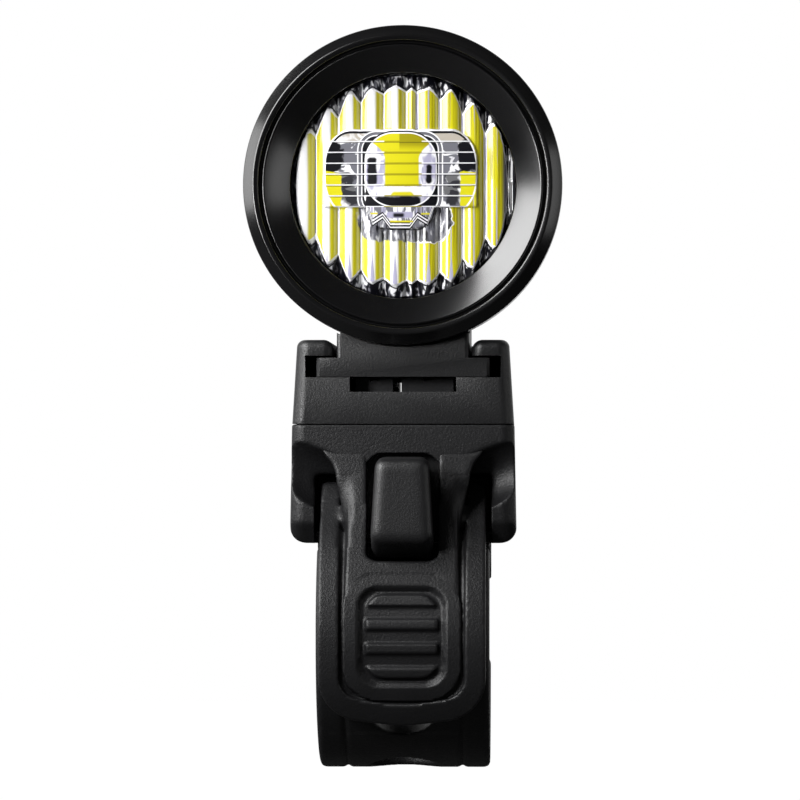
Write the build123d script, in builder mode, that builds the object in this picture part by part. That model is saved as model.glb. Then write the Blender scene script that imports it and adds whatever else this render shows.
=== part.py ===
from build123d import *
import os
from math import asin, atan2, cos, degrees, radians, sin, sqrt

# A bicycle headlight on a rubber handlebar mount, in millimetres.
# The origin lies on the handlebar's axis, which is X. The lamp shines along -Y and +Z is up.

# Driving dimensions: the handlebar and the strap mount
bar_radius = 15.9
strap_width = 23.9
strap_thickness = 3.0
tab_width = 22.9
tab_thickness = 3.0
tab_bottom_z = -12.0
crease_z = 22.5
crease_y = -16.6
block_front_y = -16.0
block_depth = 36.0
block_top_z = 29.4
block_bottom_z = 13.0
block_width_top = 30.8
block_width_bottom = 31.4

# Driving dimensions: the socket on the block and the rail foot in it
socket_width_top = 29.3
socket_width_bottom = 30.7
socket_height = 11.6
slot_width = 27.0
slot_height = 3.0
foot_length = 34.0
flange_width = 23.9
flange_thickness = 2.6
neck_width = 18.3

# Driving dimensions: the lamp, which is built round its cell
cell_radius = 9.2
cell_length = 65.0
cell_surround = 9.4
housing_wall = 2.0
bezel_overhang = 3.4
bezel_face = 6.4
bezel_bottom_z = 40.4
lamp_front_y = -19.0
hexagon_side_count = 6

# Clearances and overruns
seat_gap = 0.02
fit_gap = 0.05
running_gap = 0.06
part_gap = 0.3
free_gap = 0.5
swivel_gap = 0.1
overrun = 1.0

# Places that several pieces share
housing_radius = cell_radius + cell_surround
head_radius = housing_radius + bezel_overhang
opening_radius = head_radius - bezel_face
head_height = bezel_bottom_z + head_radius
block_rear_y = block_front_y + block_depth
socket_bottom_z = block_top_z + swivel_gap
socket_top_z = socket_bottom_z + socket_height
lamp_plane = Plane.XY.offset(head_height)
lamp_axis = Axis((0, 0, head_height), (0, 1, 0))

os.makedirs("parts", exist_ok=True)


def save(builder, label):
    builder.part.label = label
    export_step(builder.part, "parts/" + label + ".step")


def at_y(y):
    """A plane across the lamp at y, facing +Y, with local x along -X and local y up from the lamp's axis."""
    return Plane(origin=(0, y, head_height), x_dir=(-1, 0, 0), z_dir=(0, 1, 0))


# Bezel: a turned ring with a bevelled edge, a bright rolled lip, a fine groove and a dished cone
bezel_length = 14.0
bezel_bevel_width = 1.2
bezel_bevel_depth = 1.5
bezel_band = 6.0
bezel_rear_radius = 19.5
lip_height = 0.25
lip_width = 0.8
groove_width = 0.45
groove_depth = 0.65
cone_top_depth = 0.5
cone_depth = 4.4
seat_lip = 0.8
lens_margin = 1.4
lens_ring = 0.7
spigot_length = 5.6
lens_radius = opening_radius + lens_margin
spigot_radius = lens_radius + lens_ring
bezel_rear_y = lamp_front_y + bezel_length
lip_outer_radius = head_radius - bezel_bevel_width
lip_inner_radius = lip_outer_radius - lip_width
cone_radius = lip_inner_radius - groove_width
lens_seat_y = lamp_front_y + cone_depth + seat_lip
spigot_front_y = bezel_rear_y - spigot_length
lens_bore_radius = lens_radius + 2 * fit_gap
spigot_bore_radius = spigot_radius + fit_gap

with BuildPart() as bezel:
    with BuildSketch(lamp_plane):
        with BuildLine():
            Polyline(
                (lip_inner_radius, lamp_front_y + lip_height),
                (lip_inner_radius, lamp_front_y + cone_top_depth + groove_depth),
                (cone_radius, lamp_front_y + cone_top_depth + groove_depth),
                (cone_radius, lamp_front_y + cone_top_depth),
                (opening_radius, lamp_front_y + cone_depth),
                (opening_radius, lens_seat_y),
                (lens_bore_radius, lens_seat_y),
                (lens_bore_radius, spigot_front_y - fit_gap),
                (spigot_bore_radius, spigot_front_y - fit_gap),
                (spigot_bore_radius, bezel_rear_y),
                (bezel_rear_radius, bezel_rear_y),
                (head_radius, lamp_front_y + bezel_bevel_depth + bezel_band),
                (head_radius, lamp_front_y + bezel_bevel_depth),
                (lip_outer_radius, lamp_front_y + lip_height),
            )
            ThreePointArc(
                (lip_outer_radius, lamp_front_y + lip_height),
                ((lip_outer_radius + lip_inner_radius) / 2, lamp_front_y),
                (lip_inner_radius, lamp_front_y + lip_height),
            )
        make_face()
    revolve(axis=lamp_axis)
save(bezel, "bezel")

# Lens gasket: a flat ring between the bezel's seat and the lens
gasket_thickness = 0.6
gasket_inner_radius = opening_radius + 2 * part_gap
with BuildPart() as lens_gasket:
    with BuildSketch(at_y(lens_seat_y)):
        Circle(lens_radius)
        Circle(gasket_inner_radius, mode=Mode.SUBTRACT)
    extrude(amount=gasket_thickness)
save(lens_gasket, "lens_gasket")

# Optic lens: a clear flange, vertical flutes in front with arched ends, and a ribbed window in the middle
lens_flange = 1.8
lens_front_radius = opening_radius - fit_gap
flute_count = 10
flute_pitch = 2 * lens_front_radius / flute_count
flute_rise = 0.9
flute_root_y = lens_seat_y - part_gap
window_width = 21.0
window_top = 7.4
window_bottom = -3.2
window_corner = 3.4
window_proud = 0.25
window_rib_count = 7
eye_width = 10.0
eye_height = 15.0
eye_centre_z = 0.4
eye_corner = 3.0
eye_proud = 0.3
rim_slope = 40.0
lens_rear_y = lens_seat_y + gasket_thickness + lens_flange
flute_front_y = flute_root_y - flute_rise
window_front_y = flute_front_y - window_proud
eye_front_y = window_front_y - eye_proud
window_height = window_top - window_bottom
window_rib = window_height / window_rib_count

with BuildPart() as optic_lens:
    with BuildSketch(lamp_plane):
        with BuildLine():
            left_edge = -lens_front_radius
            for flute in range(flute_count):
                flute_left = left_edge + flute * flute_pitch
                ThreePointArc(
                    (flute_left, flute_root_y),
                    (flute_left + flute_pitch / 2, flute_front_y),
                    (flute_left + flute_pitch, flute_root_y),
                )
            Polyline(
                (lens_front_radius, flute_root_y),
                (lens_front_radius, lens_rear_y),
                (left_edge, lens_rear_y),
                (left_edge, flute_root_y),
            )
        make_face()
    extrude(amount=lens_radius, both=True)
    with BuildSketch(at_y(flute_front_y - overrun)):
        Circle(lens_front_radius - flute_rise - overrun)
    extrude(
        amount=lens_rear_y - flute_front_y + overrun,
        taper=-rim_slope,
        mode=Mode.INTERSECT,
    )
    with BuildSketch(at_y(lens_rear_y)):
        Circle(lens_front_radius)
    extrude(amount=-(lens_rear_y - eye_front_y), mode=Mode.INTERSECT)
    with BuildSketch(at_y(lens_rear_y)):
        with Locations((0, (window_top + window_bottom) / 2)):
            RectangleRounded(window_width, window_height, window_corner)
    extrude(amount=-(lens_rear_y - window_front_y))
    with BuildSketch(Plane.YZ):
        for rib in range(1, window_rib_count):
            with Locations((window_front_y, head_height + window_bottom + rib * window_rib)):
                Circle(window_proud, align=Align.CENTER)
    extrude(amount=window_width / 2, both=True, mode=Mode.SUBTRACT)
    with BuildSketch(at_y(lens_rear_y)):
        with Locations((0, eye_centre_z)):
            RectangleRounded(eye_width, eye_height, eye_corner)
    extrude(amount=-(lens_rear_y - eye_front_y))
    with BuildSketch(at_y(lens_rear_y)):
        Circle(lens_radius)
    extrude(amount=-lens_flange)
save(optic_lens, "optic_lens")

# Heat sink, LED board, LED and optic holder, stacked behind the lens
holder_length = 8.6
holder_radius = housing_radius - housing_wall - fit_gap
holder_mouth_radius = opening_radius - 2 * part_gap
holder_throat_radius = 5.4
led_board_margin = 3.55
led_board_radius = holder_radius - led_board_margin
led_board_thickness = 1.6
led_side = 5.0
led_height = 0.8
dome_radius = 1.9
heat_sink_length = 5.0
heat_sink_fin = 1.2
heat_sink_bore = 8.0
heat_sink_fin_count = 8
led_board_front_y = lens_rear_y + holder_length
led_board_rear_y = led_board_front_y + led_board_thickness
heat_sink_rear_y = led_board_rear_y + heat_sink_length

with BuildPart() as optic_holder:
    with BuildSketch(lamp_plane):
        with BuildLine():
            Polyline(
                (holder_mouth_radius, lens_rear_y),
                (holder_radius, lens_rear_y),
                (holder_radius, led_board_rear_y),
                (led_board_radius + fit_gap, led_board_rear_y),
                (led_board_radius + fit_gap, led_board_front_y),
                (holder_throat_radius, led_board_front_y),
                (holder_mouth_radius, lens_rear_y),
            )
        make_face()
    revolve(axis=lamp_axis)
save(optic_holder, "optic_holder")

with BuildPart() as led_board:
    with BuildSketch(at_y(led_board_front_y)):
        Circle(led_board_radius)
    extrude(amount=led_board_thickness)
save(led_board, "led_board")

with BuildPart() as led_emitter:
    with BuildSketch(at_y(led_board_front_y)):
        Rectangle(led_side, led_side)
    extrude(amount=-led_height)
    with BuildSketch(at_y(led_board_front_y - led_height)):
        Circle(dome_radius)
    extrude(amount=-led_height, taper=rim_slope)
save(led_emitter, "led_emitter")

with BuildPart() as heat_sink:
    with BuildSketch(at_y(led_board_rear_y)):
        Circle(holder_radius)
    extrude(amount=heat_sink_length)
    with BuildSketch(at_y(heat_sink_rear_y)):
        Circle(heat_sink_bore)
    extrude(amount=-(heat_sink_length - led_board_thickness), mode=Mode.SUBTRACT)
    with BuildSketch(at_y(heat_sink_rear_y)):
        with PolarLocations(heat_sink_bore - heat_sink_fin, heat_sink_fin_count):
            Rectangle(2 * holder_radius, heat_sink_fin, align=(Align.MIN, Align.CENTER))
    extrude(amount=-(heat_sink_length - 2 * led_board_thickness), mode=Mode.SUBTRACT)
save(heat_sink, "heat_sink")

# Places along and across the lamp that the housing's contents share
housing_bore = housing_radius - housing_wall
cap_thickness = 3.5
cap_edge = 1.4
cap_room = 3.3
contact_thickness = 0.6
contact_radius = 6.0
board_lift = 1.4
cradle_foot = 1.7
board_z = cell_radius + board_lift
board_thickness = 1.2
board_width = 21.0
cradle_end = 1.6
cradle_drop = cell_radius + cradle_foot
cradle_front_y = heat_sink_rear_y + part_gap
cell_front_y = cradle_front_y + cradle_end + contact_thickness + 2 * fit_gap
cell_rear_y = cell_front_y + cell_length
cradle_rear_y = cell_rear_y + contact_thickness + cradle_end + 2 * fit_gap
housing_rear_y = cradle_rear_y + cap_room
lamp_rear_y = housing_rear_y + cap_thickness
button_y = 14.0
button_radius = 5.0
button_proud = 0.5
button_flange_radius = 5.9
button_flange_height = 0.8
button_flange_drop = 1.4
button_flange_top = housing_radius - button_flange_drop
boss_radius = 7.4
boss_rise = 0.3
boss_top_z = housing_radius + boss_rise
button_top_z = boss_top_z + button_proud
membrane_thickness = 0.4
light_radius = 0.8
light_count = 4
light_pitch = 2.6
light_first_y = 23.4
light_proud_z = housing_radius - fit_gap
screw_boss_radius = 2.8
screw_boss_depth = 4.4
screw_boss_top_z = screw_boss_depth - housing_radius
rail_screw_radius = 1.5
rail_screw_near_y = 8.2
rail_screw_pitch = 6.6
rail_screw_ys = (rail_screw_near_y, rail_screw_near_y + rail_screw_pitch)
cap_screw_radius = 1.1
cap_screw_inset = 2.3
cap_screw_circle = housing_bore - cap_screw_inset
cap_screw_boss = 2.2
cap_screw_boss_length = housing_rear_y - cradle_rear_y - part_gap
cap_screw_start = 210
cap_screw_count = 3
cap_screw_arc = 120


def above_lamp(height):
    """A level plane at this height over the lamp's axis."""
    return Plane.XY.offset(head_height + height)


# Lamp housing: a tube with a spigot for the bezel, a button boss on top and bosses for its screws
with BuildPart() as lamp_housing:
    with BuildSketch(at_y(bezel_rear_y)):
        Circle(housing_radius)
    extrude(amount=housing_rear_y - bezel_rear_y)
    with BuildSketch(at_y(bezel_rear_y)):
        Circle(spigot_radius)
    extrude(amount=-spigot_length)
    with BuildSketch(above_lamp(0)):
        with Locations((0, button_y)):
            Circle(boss_radius)
    extrude(amount=boss_top_z)
    fillet(edges().filter_by(GeomType.CIRCLE).group_by(Axis.Z)[-1], housing_wall / 4)
    with BuildSketch(at_y(spigot_front_y)):
        Circle(housing_bore)
    extrude(amount=housing_rear_y - spigot_front_y, mode=Mode.SUBTRACT)
    with BuildSketch(above_lamp(-housing_radius + housing_wall / 2)):
        with Locations(*[(0, y) for y in rail_screw_ys]):
            Circle(screw_boss_radius)
    extrude(amount=housing_radius - housing_wall / 2 + screw_boss_top_z)
    with BuildSketch(at_y(housing_rear_y)):
        with PolarLocations(cap_screw_circle, cap_screw_count, cap_screw_start, cap_screw_arc * 2):
            Rectangle(housing_bore - cap_screw_circle + housing_wall / 2, 2 * cap_screw_boss,
                      align=(Align.MIN, Align.CENTER))
            Circle(cap_screw_boss)
    extrude(amount=-cap_screw_boss_length)
    with BuildSketch(at_y(housing_rear_y)):
        with PolarLocations(cap_screw_circle, cap_screw_count, cap_screw_start, cap_screw_arc * 2):
            Circle(cap_screw_radius + seat_gap)
    extrude(amount=-cap_screw_boss_length, mode=Mode.SUBTRACT)
    with BuildSketch(above_lamp(-housing_radius - overrun)):
        with Locations(*[(0, y) for y in rail_screw_ys]):
            Circle(rail_screw_radius + seat_gap)
    extrude(amount=2 * housing_wall + screw_boss_radius, mode=Mode.SUBTRACT)
    with BuildSketch(above_lamp(0)):
        with Locations((0, button_y)):
            Circle(button_radius + swivel_gap)
    extrude(amount=boss_top_z + overrun, mode=Mode.SUBTRACT)
    with BuildSketch(above_lamp(0)):
        with Locations((0, button_y)):
            Circle(button_flange_radius + swivel_gap)
    extrude(amount=button_flange_top + fit_gap, mode=Mode.SUBTRACT)
    with BuildSketch(above_lamp(0)):
        for light in range(light_count):
            with Locations((0, light_first_y + light * light_pitch)):
                Circle(light_radius + seat_gap)
    extrude(amount=housing_radius + overrun, mode=Mode.SUBTRACT)
save(lamp_housing, "lamp_housing")

# Cell cradle: a moulded frame that holds the cell on the axis and the driver board above it
with BuildPart() as cell_cradle:
    with BuildSketch(at_y(cradle_front_y)):
        Circle(holder_radius)
        with Locations((0, -cradle_drop)):
            Rectangle(2 * holder_radius, holder_radius, align=(Align.CENTER, Align.MAX), mode=Mode.SUBTRACT)
        with Locations((0, board_z)):
            Rectangle(2 * holder_radius, holder_radius, align=(Align.CENTER, Align.MIN), mode=Mode.SUBTRACT)
    extrude(amount=cradle_rear_y - cradle_front_y)
    with BuildSketch(at_y(cradle_front_y + cradle_end)):
        Circle(cell_radius + running_gap)
    extrude(amount=cell_length + 2 * contact_thickness + 4 * fit_gap, mode=Mode.SUBTRACT)
    with BuildSketch(at_y(cradle_front_y + 4 * cradle_end)):
        with Locations((cell_radius + cradle_end, 0), (-cell_radius - cradle_end, 0)):
            Rectangle(cell_radius, 2 * cell_radius - 2 * cradle_end,
                      align=(Align.CENTER, Align.CENTER))
        Circle(cell_radius + cradle_end, mode=Mode.SUBTRACT)
    extrude(amount=cell_length - 5 * cradle_end, mode=Mode.SUBTRACT)
save(cell_cradle, "cell_cradle")

with BuildPart() as battery_cell:
    with BuildSketch(at_y(cell_front_y)):
        Circle(cell_radius)
    extrude(amount=cell_length)
    chamfer(edges().filter_by(GeomType.CIRCLE), contact_thickness)
save(battery_cell, "battery_cell")

with BuildPart() as battery_contacts:
    with BuildSketch(at_y(cell_front_y - fit_gap)):
        Circle(contact_radius)
    extrude(amount=-contact_thickness)
    with BuildSketch(at_y(cell_rear_y + fit_gap)):
        Circle(contact_radius)
    extrude(amount=contact_thickness)
save(battery_contacts, "battery_contacts")

# Driver board above the cell, with the switch under the power button and the charging socket at its rear
board_rear_y = cradle_rear_y - cradle_end
switch_side = 6.0
switch_height = 3.2
plunger_radius = 1.6
plunger_height = 0.4
usb_width = 8.9
usb_height = 3.2
usb_length = 7.0
usb_wall = 0.4
board_top_z = board_z + board_thickness
usb_rear_y = housing_rear_y - part_gap
usb_centre_z = board_top_z + usb_height / 2

with BuildPart() as driver_board:
    with BuildSketch(above_lamp(board_z)):
        with Locations((0, cradle_front_y)):
            Rectangle(board_width, board_rear_y - cradle_front_y, align=(Align.CENTER, Align.MIN))
    extrude(amount=board_thickness)
save(driver_board, "driver_board")

with BuildPart() as button_switch:
    with BuildSketch(above_lamp(board_top_z)):
        with Locations((0, button_y)):
            Rectangle(switch_side, switch_side)
    extrude(amount=switch_height)
    with BuildSketch(above_lamp(board_top_z + switch_height)):
        with Locations((0, button_y)):
            Circle(plunger_radius)
    extrude(amount=plunger_height)
save(button_switch, "button_switch")

with BuildPart() as usb_socket:
    with BuildSketch(at_y(usb_rear_y)):
        with Locations((0, usb_centre_z)):
            RectangleRounded(usb_width, usb_height, usb_height / 2 - fit_gap)
    extrude(amount=-usb_length)
    with BuildSketch(at_y(usb_rear_y)):
        with Locations((0, usb_centre_z)):
            RectangleRounded(usb_width - 2 * usb_wall, usb_height - 2 * usb_wall,
                             usb_height / 2 - usb_wall - fit_gap)
            Rectangle(usb_width - 4 * usb_wall - usb_height / 2, usb_wall * 2, mode=Mode.SUBTRACT)
    extrude(amount=-(usb_length - usb_wall), mode=Mode.SUBTRACT)
save(usb_socket, "usb_socket")

# Rear cap, with the charging port, a shallow seat for the port's cover and three screws
port_width = usb_width + part_gap
port_height = usb_height + part_gap
cover_width = 12.0
cover_top = 16.3
cover_thickness = 1.4
cover_corner = 2.0
cover_hinge_radius = 0.7
cover_hinge_length = 8.0
cover_bottom = 2 * usb_centre_z - cover_top
cover_hinge_z = cover_bottom - cover_hinge_radius
cover_seat_y = lamp_rear_y - cover_thickness - fit_gap
cover_hinge_y = lamp_rear_y - cover_hinge_radius
plug_length = 1.0
cap_screw_head_radius = 2.0
cap_screw_head_height = 1.5
cap_rear_skin = 0.3

with BuildPart() as rear_cap:
    with BuildSketch(at_y(housing_rear_y + part_gap)):
        Circle(housing_radius)
    extrude(amount=cap_thickness - part_gap)
    chamfer(edges().filter_by(GeomType.CIRCLE).group_by(Axis.Y)[-1], cap_edge)
    with BuildSketch(at_y(housing_rear_y + part_gap)):
        with Locations((0, usb_centre_z)):
            RectangleRounded(port_width, port_height, port_height / 2 - fit_gap)
        with PolarLocations(cap_screw_circle, cap_screw_count, cap_screw_start, cap_screw_arc * 2):
            Circle(cap_screw_radius + seat_gap)
    extrude(amount=cap_thickness, mode=Mode.SUBTRACT)
    with BuildSketch(at_y(cover_seat_y)):
        with Locations((0, usb_centre_z)):
            RectangleRounded(cover_width + part_gap, cover_top - cover_bottom + part_gap,
                             cover_corner + part_gap / 2)
        with Locations((0, cover_hinge_z)):
            Rectangle(cover_width + part_gap, 4 * cover_hinge_radius)
    extrude(amount=cap_thickness, mode=Mode.SUBTRACT)
    with BuildSketch(at_y(lamp_rear_y - cap_rear_skin)):
        with PolarLocations(cap_screw_circle, cap_screw_count, cap_screw_start, cap_screw_arc * 2):
            Circle(cap_screw_head_radius + part_gap / 2)
    extrude(amount=cap_thickness, mode=Mode.SUBTRACT)
    with BuildSketch(at_y(lamp_rear_y - cap_rear_skin - cap_screw_head_height)):
        with PolarLocations(cap_screw_circle, cap_screw_count, cap_screw_start, cap_screw_arc * 2):
            Circle(cap_screw_head_radius + part_gap / 2)
    extrude(amount=cap_screw_head_height, mode=Mode.SUBTRACT)
save(rear_cap, "rear_cap")

with BuildPart() as rear_gasket:
    with BuildSketch(at_y(housing_rear_y)):
        Circle(housing_radius - housing_wall / 5)
        Circle(housing_bore + housing_wall / 5, mode=Mode.SUBTRACT)
    extrude(amount=part_gap)
save(rear_gasket, "rear_gasket")

with BuildPart() as rear_cap_screws:
    with BuildSketch(at_y(lamp_rear_y - cap_rear_skin)):
        with PolarLocations(cap_screw_circle, cap_screw_count, cap_screw_start, cap_screw_arc * 2):
            Circle(cap_screw_head_radius)
    extrude(amount=-cap_screw_head_height)
    with BuildSketch(at_y(lamp_rear_y - cap_rear_skin)):
        with PolarLocations(cap_screw_circle, cap_screw_count, cap_screw_start, cap_screw_arc * 2):
            Circle(cap_screw_radius)
    extrude(amount=-(cap_thickness + cap_screw_boss_length - overrun))
    with BuildSketch(at_y(lamp_rear_y - cap_rear_skin)):
        with PolarLocations(cap_screw_circle, cap_screw_count, cap_screw_start, cap_screw_arc * 2):
            RegularPolygon(cap_screw_radius, hexagon_side_count)
    extrude(amount=-cap_screw_head_height / 2, mode=Mode.SUBTRACT)
save(rear_cap_screws, "rear_cap_screws")

# Port cover: a rubber flap in its seat, with a short plug and a hinge bead along its lower edge
with BuildPart() as port_cover:
    with BuildSketch(at_y(lamp_rear_y - cover_thickness)):
        with Locations((0, usb_centre_z)):
            RectangleRounded(cover_width, cover_top - cover_bottom, cover_corner)
    extrude(amount=cover_thickness)
    with BuildSketch(at_y(lamp_rear_y - cover_thickness)):
        with Locations((0, usb_centre_z)):
            RectangleRounded(port_width - 4 * part_gap, port_height - 4 * part_gap,
                             port_height / 2 - 2 * part_gap - fit_gap)
    extrude(amount=-plug_length)
    with BuildSketch(Plane.YZ):
        with Locations((cover_hinge_y, head_height + cover_hinge_z)):
            Circle(cover_hinge_radius)
            Rectangle(cover_hinge_radius, 2 * cover_hinge_radius + fit_gap, align=(Align.CENTER, Align.MIN))
    extrude(amount=cover_hinge_length / 2, both=True)
save(port_cover, "port_cover")

# Power button, its sealing membrane and the row of status lights behind it
button_bottom_z = button_flange_top - button_flange_height
with BuildPart() as power_button:
    with BuildSketch(above_lamp(button_bottom_z)):
        with Locations((0, button_y)):
            Circle(button_flange_radius)
    extrude(amount=button_flange_height)
    with BuildSketch(above_lamp(button_bottom_z)):
        with Locations((0, button_y)):
            Circle(button_radius)
    extrude(amount=button_top_z - button_bottom_z)
    fillet(edges().filter_by(GeomType.CIRCLE).group_by(Axis.Z)[-1], button_flange_height / 2)
save(power_button, "power_button")

membrane_top_z = button_bottom_z - fit_gap
with BuildPart() as button_membrane:
    with BuildSketch(above_lamp(membrane_top_z - membrane_thickness)):
        with Locations((0, button_y)):
            Circle(button_flange_radius)
    extrude(amount=membrane_thickness)
save(button_membrane, "button_membrane")

with BuildPart() as status_lights:
    with BuildSketch(above_lamp(light_proud_z)):
        for light in range(light_count):
            with Locations((0, light_first_y + light * light_pitch)):
                Circle(light_radius)
    extrude(amount=-(housing_wall + light_radius))
save(status_lights, "status_lights")

# Heights in the slide socket, from its lips down to the tunnel under the rail
lip_thickness = 2.2
tunnel_width = 14.7
tunnel_depth = 2.0
slot_rear_wall = 1.6
neck_gap = 0.35
slide_gap = 0.1
slot_top_z = socket_top_z - lip_thickness
slot_bottom_z = slot_top_z - slot_height
tunnel_floor_z = slot_bottom_z - tunnel_depth
flange_bottom_z = slot_bottom_z + slide_gap
flange_top_z = flange_bottom_z + flange_thickness
foot_front_y = block_front_y + 2 * slide_gap
foot_rear_y = foot_front_y + foot_length
slot_rear_y = block_rear_y - slot_rear_wall
tooth_y = -2.0
tooth_length = 2.0
tooth_width = 12.0
tooth_rise = 0.7
notch_depth = 1.1


def facing_front(y):
    """A plane across the mount at y, facing -Y, with local x along X and local y along Z."""
    return Plane(origin=(0, y, 0), x_dir=(1, 0, 0), z_dir=(0, -1, 0))


# Rail foot: the flange that slides in the socket and the neck that carries the lamp's housing
neck_shoulder = 0.6
screw_head_radius = 2.9
screw_head_height = 1.6
with BuildPart() as rail_foot:
    with BuildSketch(Plane.XY.offset(flange_bottom_z)):
        with Locations((0, (foot_front_y + foot_rear_y) / 2)):
            Rectangle(flange_width, foot_length)
    extrude(amount=flange_thickness)
    chamfer(edges().filter_by(Axis.Z), slide_gap * 4)
    with BuildSketch(Plane.XY.offset(flange_top_z - seat_gap)):
        with Locations((0, (foot_front_y + foot_rear_y) / 2)):
            RectangleRounded(neck_width, foot_length, neck_shoulder)
    extrude(amount=head_height - housing_radius / 2 - flange_top_z)
    with BuildSketch(at_y(foot_front_y - overrun)):
        Circle(head_radius + part_gap)
    extrude(amount=bezel_rear_y - foot_front_y + overrun + part_gap, mode=Mode.SUBTRACT)
    with BuildSketch(at_y(bezel_rear_y)):
        Circle(housing_radius + seat_gap)
    extrude(amount=foot_length, mode=Mode.SUBTRACT)
    with BuildSketch(Plane.XY.offset(flange_bottom_z)):
        with Locations(*[(0, y) for y in rail_screw_ys]):
            Circle(rail_screw_radius + swivel_gap)
    extrude(amount=housing_radius, mode=Mode.SUBTRACT)
    with BuildSketch(Plane.XY.offset(flange_bottom_z)):
        with Locations(*[(0, y) for y in rail_screw_ys]):
            Circle(screw_head_radius + swivel_gap)
    extrude(amount=screw_head_height + swivel_gap, mode=Mode.SUBTRACT)
    with BuildSketch(Plane.XY.offset(flange_bottom_z)):
        with Locations((0, tooth_y)):
            Rectangle(tooth_width + 2 * free_gap, tooth_length + free_gap)
    extrude(amount=notch_depth, mode=Mode.SUBTRACT)
save(rail_foot, "rail_foot")

with BuildPart() as rail_screws:
    with BuildSketch(Plane.XY.offset(flange_bottom_z + swivel_gap)):
        with Locations(*[(0, y) for y in rail_screw_ys]):
            Circle(screw_head_radius)
    extrude(amount=screw_head_height)
    with BuildSketch(Plane.XY.offset(flange_bottom_z + swivel_gap)):
        with Locations(*[(0, y) for y in rail_screw_ys]):
            Circle(rail_screw_radius)
    extrude(amount=head_height + screw_boss_top_z - flange_bottom_z - free_gap)
    with BuildSketch(Plane.XY.offset(flange_bottom_z + swivel_gap)):
        with Locations(*[(0, y) for y in rail_screw_ys]):
            RegularPolygon(rail_screw_radius, hexagon_side_count)
    extrude(amount=screw_head_height / 2, mode=Mode.SUBTRACT)
save(rail_screws, "rail_screws")

# Slide socket: two lips over a slot, a tunnel for the latch under it and a floor that swivels on the block
corner_radius = 1.8
socket_top_edge = 1.1
lip_round = 1.5
swivel_y = 2.0
swivel_radius = 2.0
swivel_head_radius = 3.9
swivel_head_height = 2.0
washer_radius = 4.2
washer_thickness = 0.4
swivel_floor = 1.8
swivel_bore_radius = swivel_radius + swivel_gap
swivel_seat_z = socket_bottom_z + swivel_floor
block_middle_y = (block_front_y + block_rear_y) / 2

with BuildPart() as slide_socket:
    with BuildSketch(Plane.XY.offset(socket_bottom_z)):
        with Locations((0, block_middle_y)):
            RectangleRounded(socket_width_bottom, block_depth, corner_radius)
    with BuildSketch(Plane.XY.offset(socket_top_z)):
        with Locations((0, block_middle_y)):
            RectangleRounded(socket_width_top, block_depth, corner_radius)
    loft()
    fillet(faces().sort_by(Axis.Z)[-1].edges(), socket_top_edge)
    with BuildSketch(facing_front(slot_rear_y)):
        with Locations((0, slot_bottom_z)):
            Rectangle(slot_width, slot_height, align=(Align.CENTER, Align.MIN))
            Rectangle(neck_width + 2 * neck_gap, slot_height + lip_thickness + overrun,
                      align=(Align.CENTER, Align.MIN))
    extrude(amount=block_depth, mode=Mode.SUBTRACT)
    lip_edges = edges().filter_by(Axis.Y).filter_by_position(Axis.Z, socket_top_z - fit_gap, socket_top_z)
    fillet(lip_edges.sort_by(lambda edge: abs(edge.center().X))[:2], lip_round)
    with BuildSketch(facing_front(block_rear_y + overrun)):
        with Locations((0, tunnel_floor_z)):
            Rectangle(tunnel_width, tunnel_depth + slide_gap, align=(Align.CENTER, Align.MIN))
    extrude(amount=block_depth + 2 * overrun, mode=Mode.SUBTRACT)
    with BuildSketch(Plane.XY.offset(swivel_seat_z)):
        with Locations((0, swivel_y)):
            Circle(washer_radius + swivel_gap)
    extrude(amount=slot_bottom_z - swivel_seat_z, mode=Mode.SUBTRACT)
    with BuildSketch(Plane.XY.offset(socket_bottom_z - overrun)):
        with Locations((0, swivel_y)):
            Circle(swivel_bore_radius)
    extrude(amount=socket_height, mode=Mode.SUBTRACT)
save(slide_socket, "slide_socket")

# Latch leaf: two springy arms on the tunnel's floor, joined by a tooth that stands in the rail's notch
arm_left = -6.6
arm_split_left = -1.5
arm_split_right = -0.3
arm_right = 6.9
arm_thickness = 0.85
arm_root_length = 6.0
arm_end_length = 8.4
leaf_rear_y = 28.0
leaf_notch_width = 1.3
leaf_notch_depth = 0.35
leaf_setback = 4.0
leaf_front_y = block_front_y + leaf_setback
leaf_top_z = slot_bottom_z - fit_gap
leaf_bottom_z = tunnel_floor_z + fit_gap
arm_spans = ((arm_left, arm_split_left), (arm_split_right, arm_right))

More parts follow.
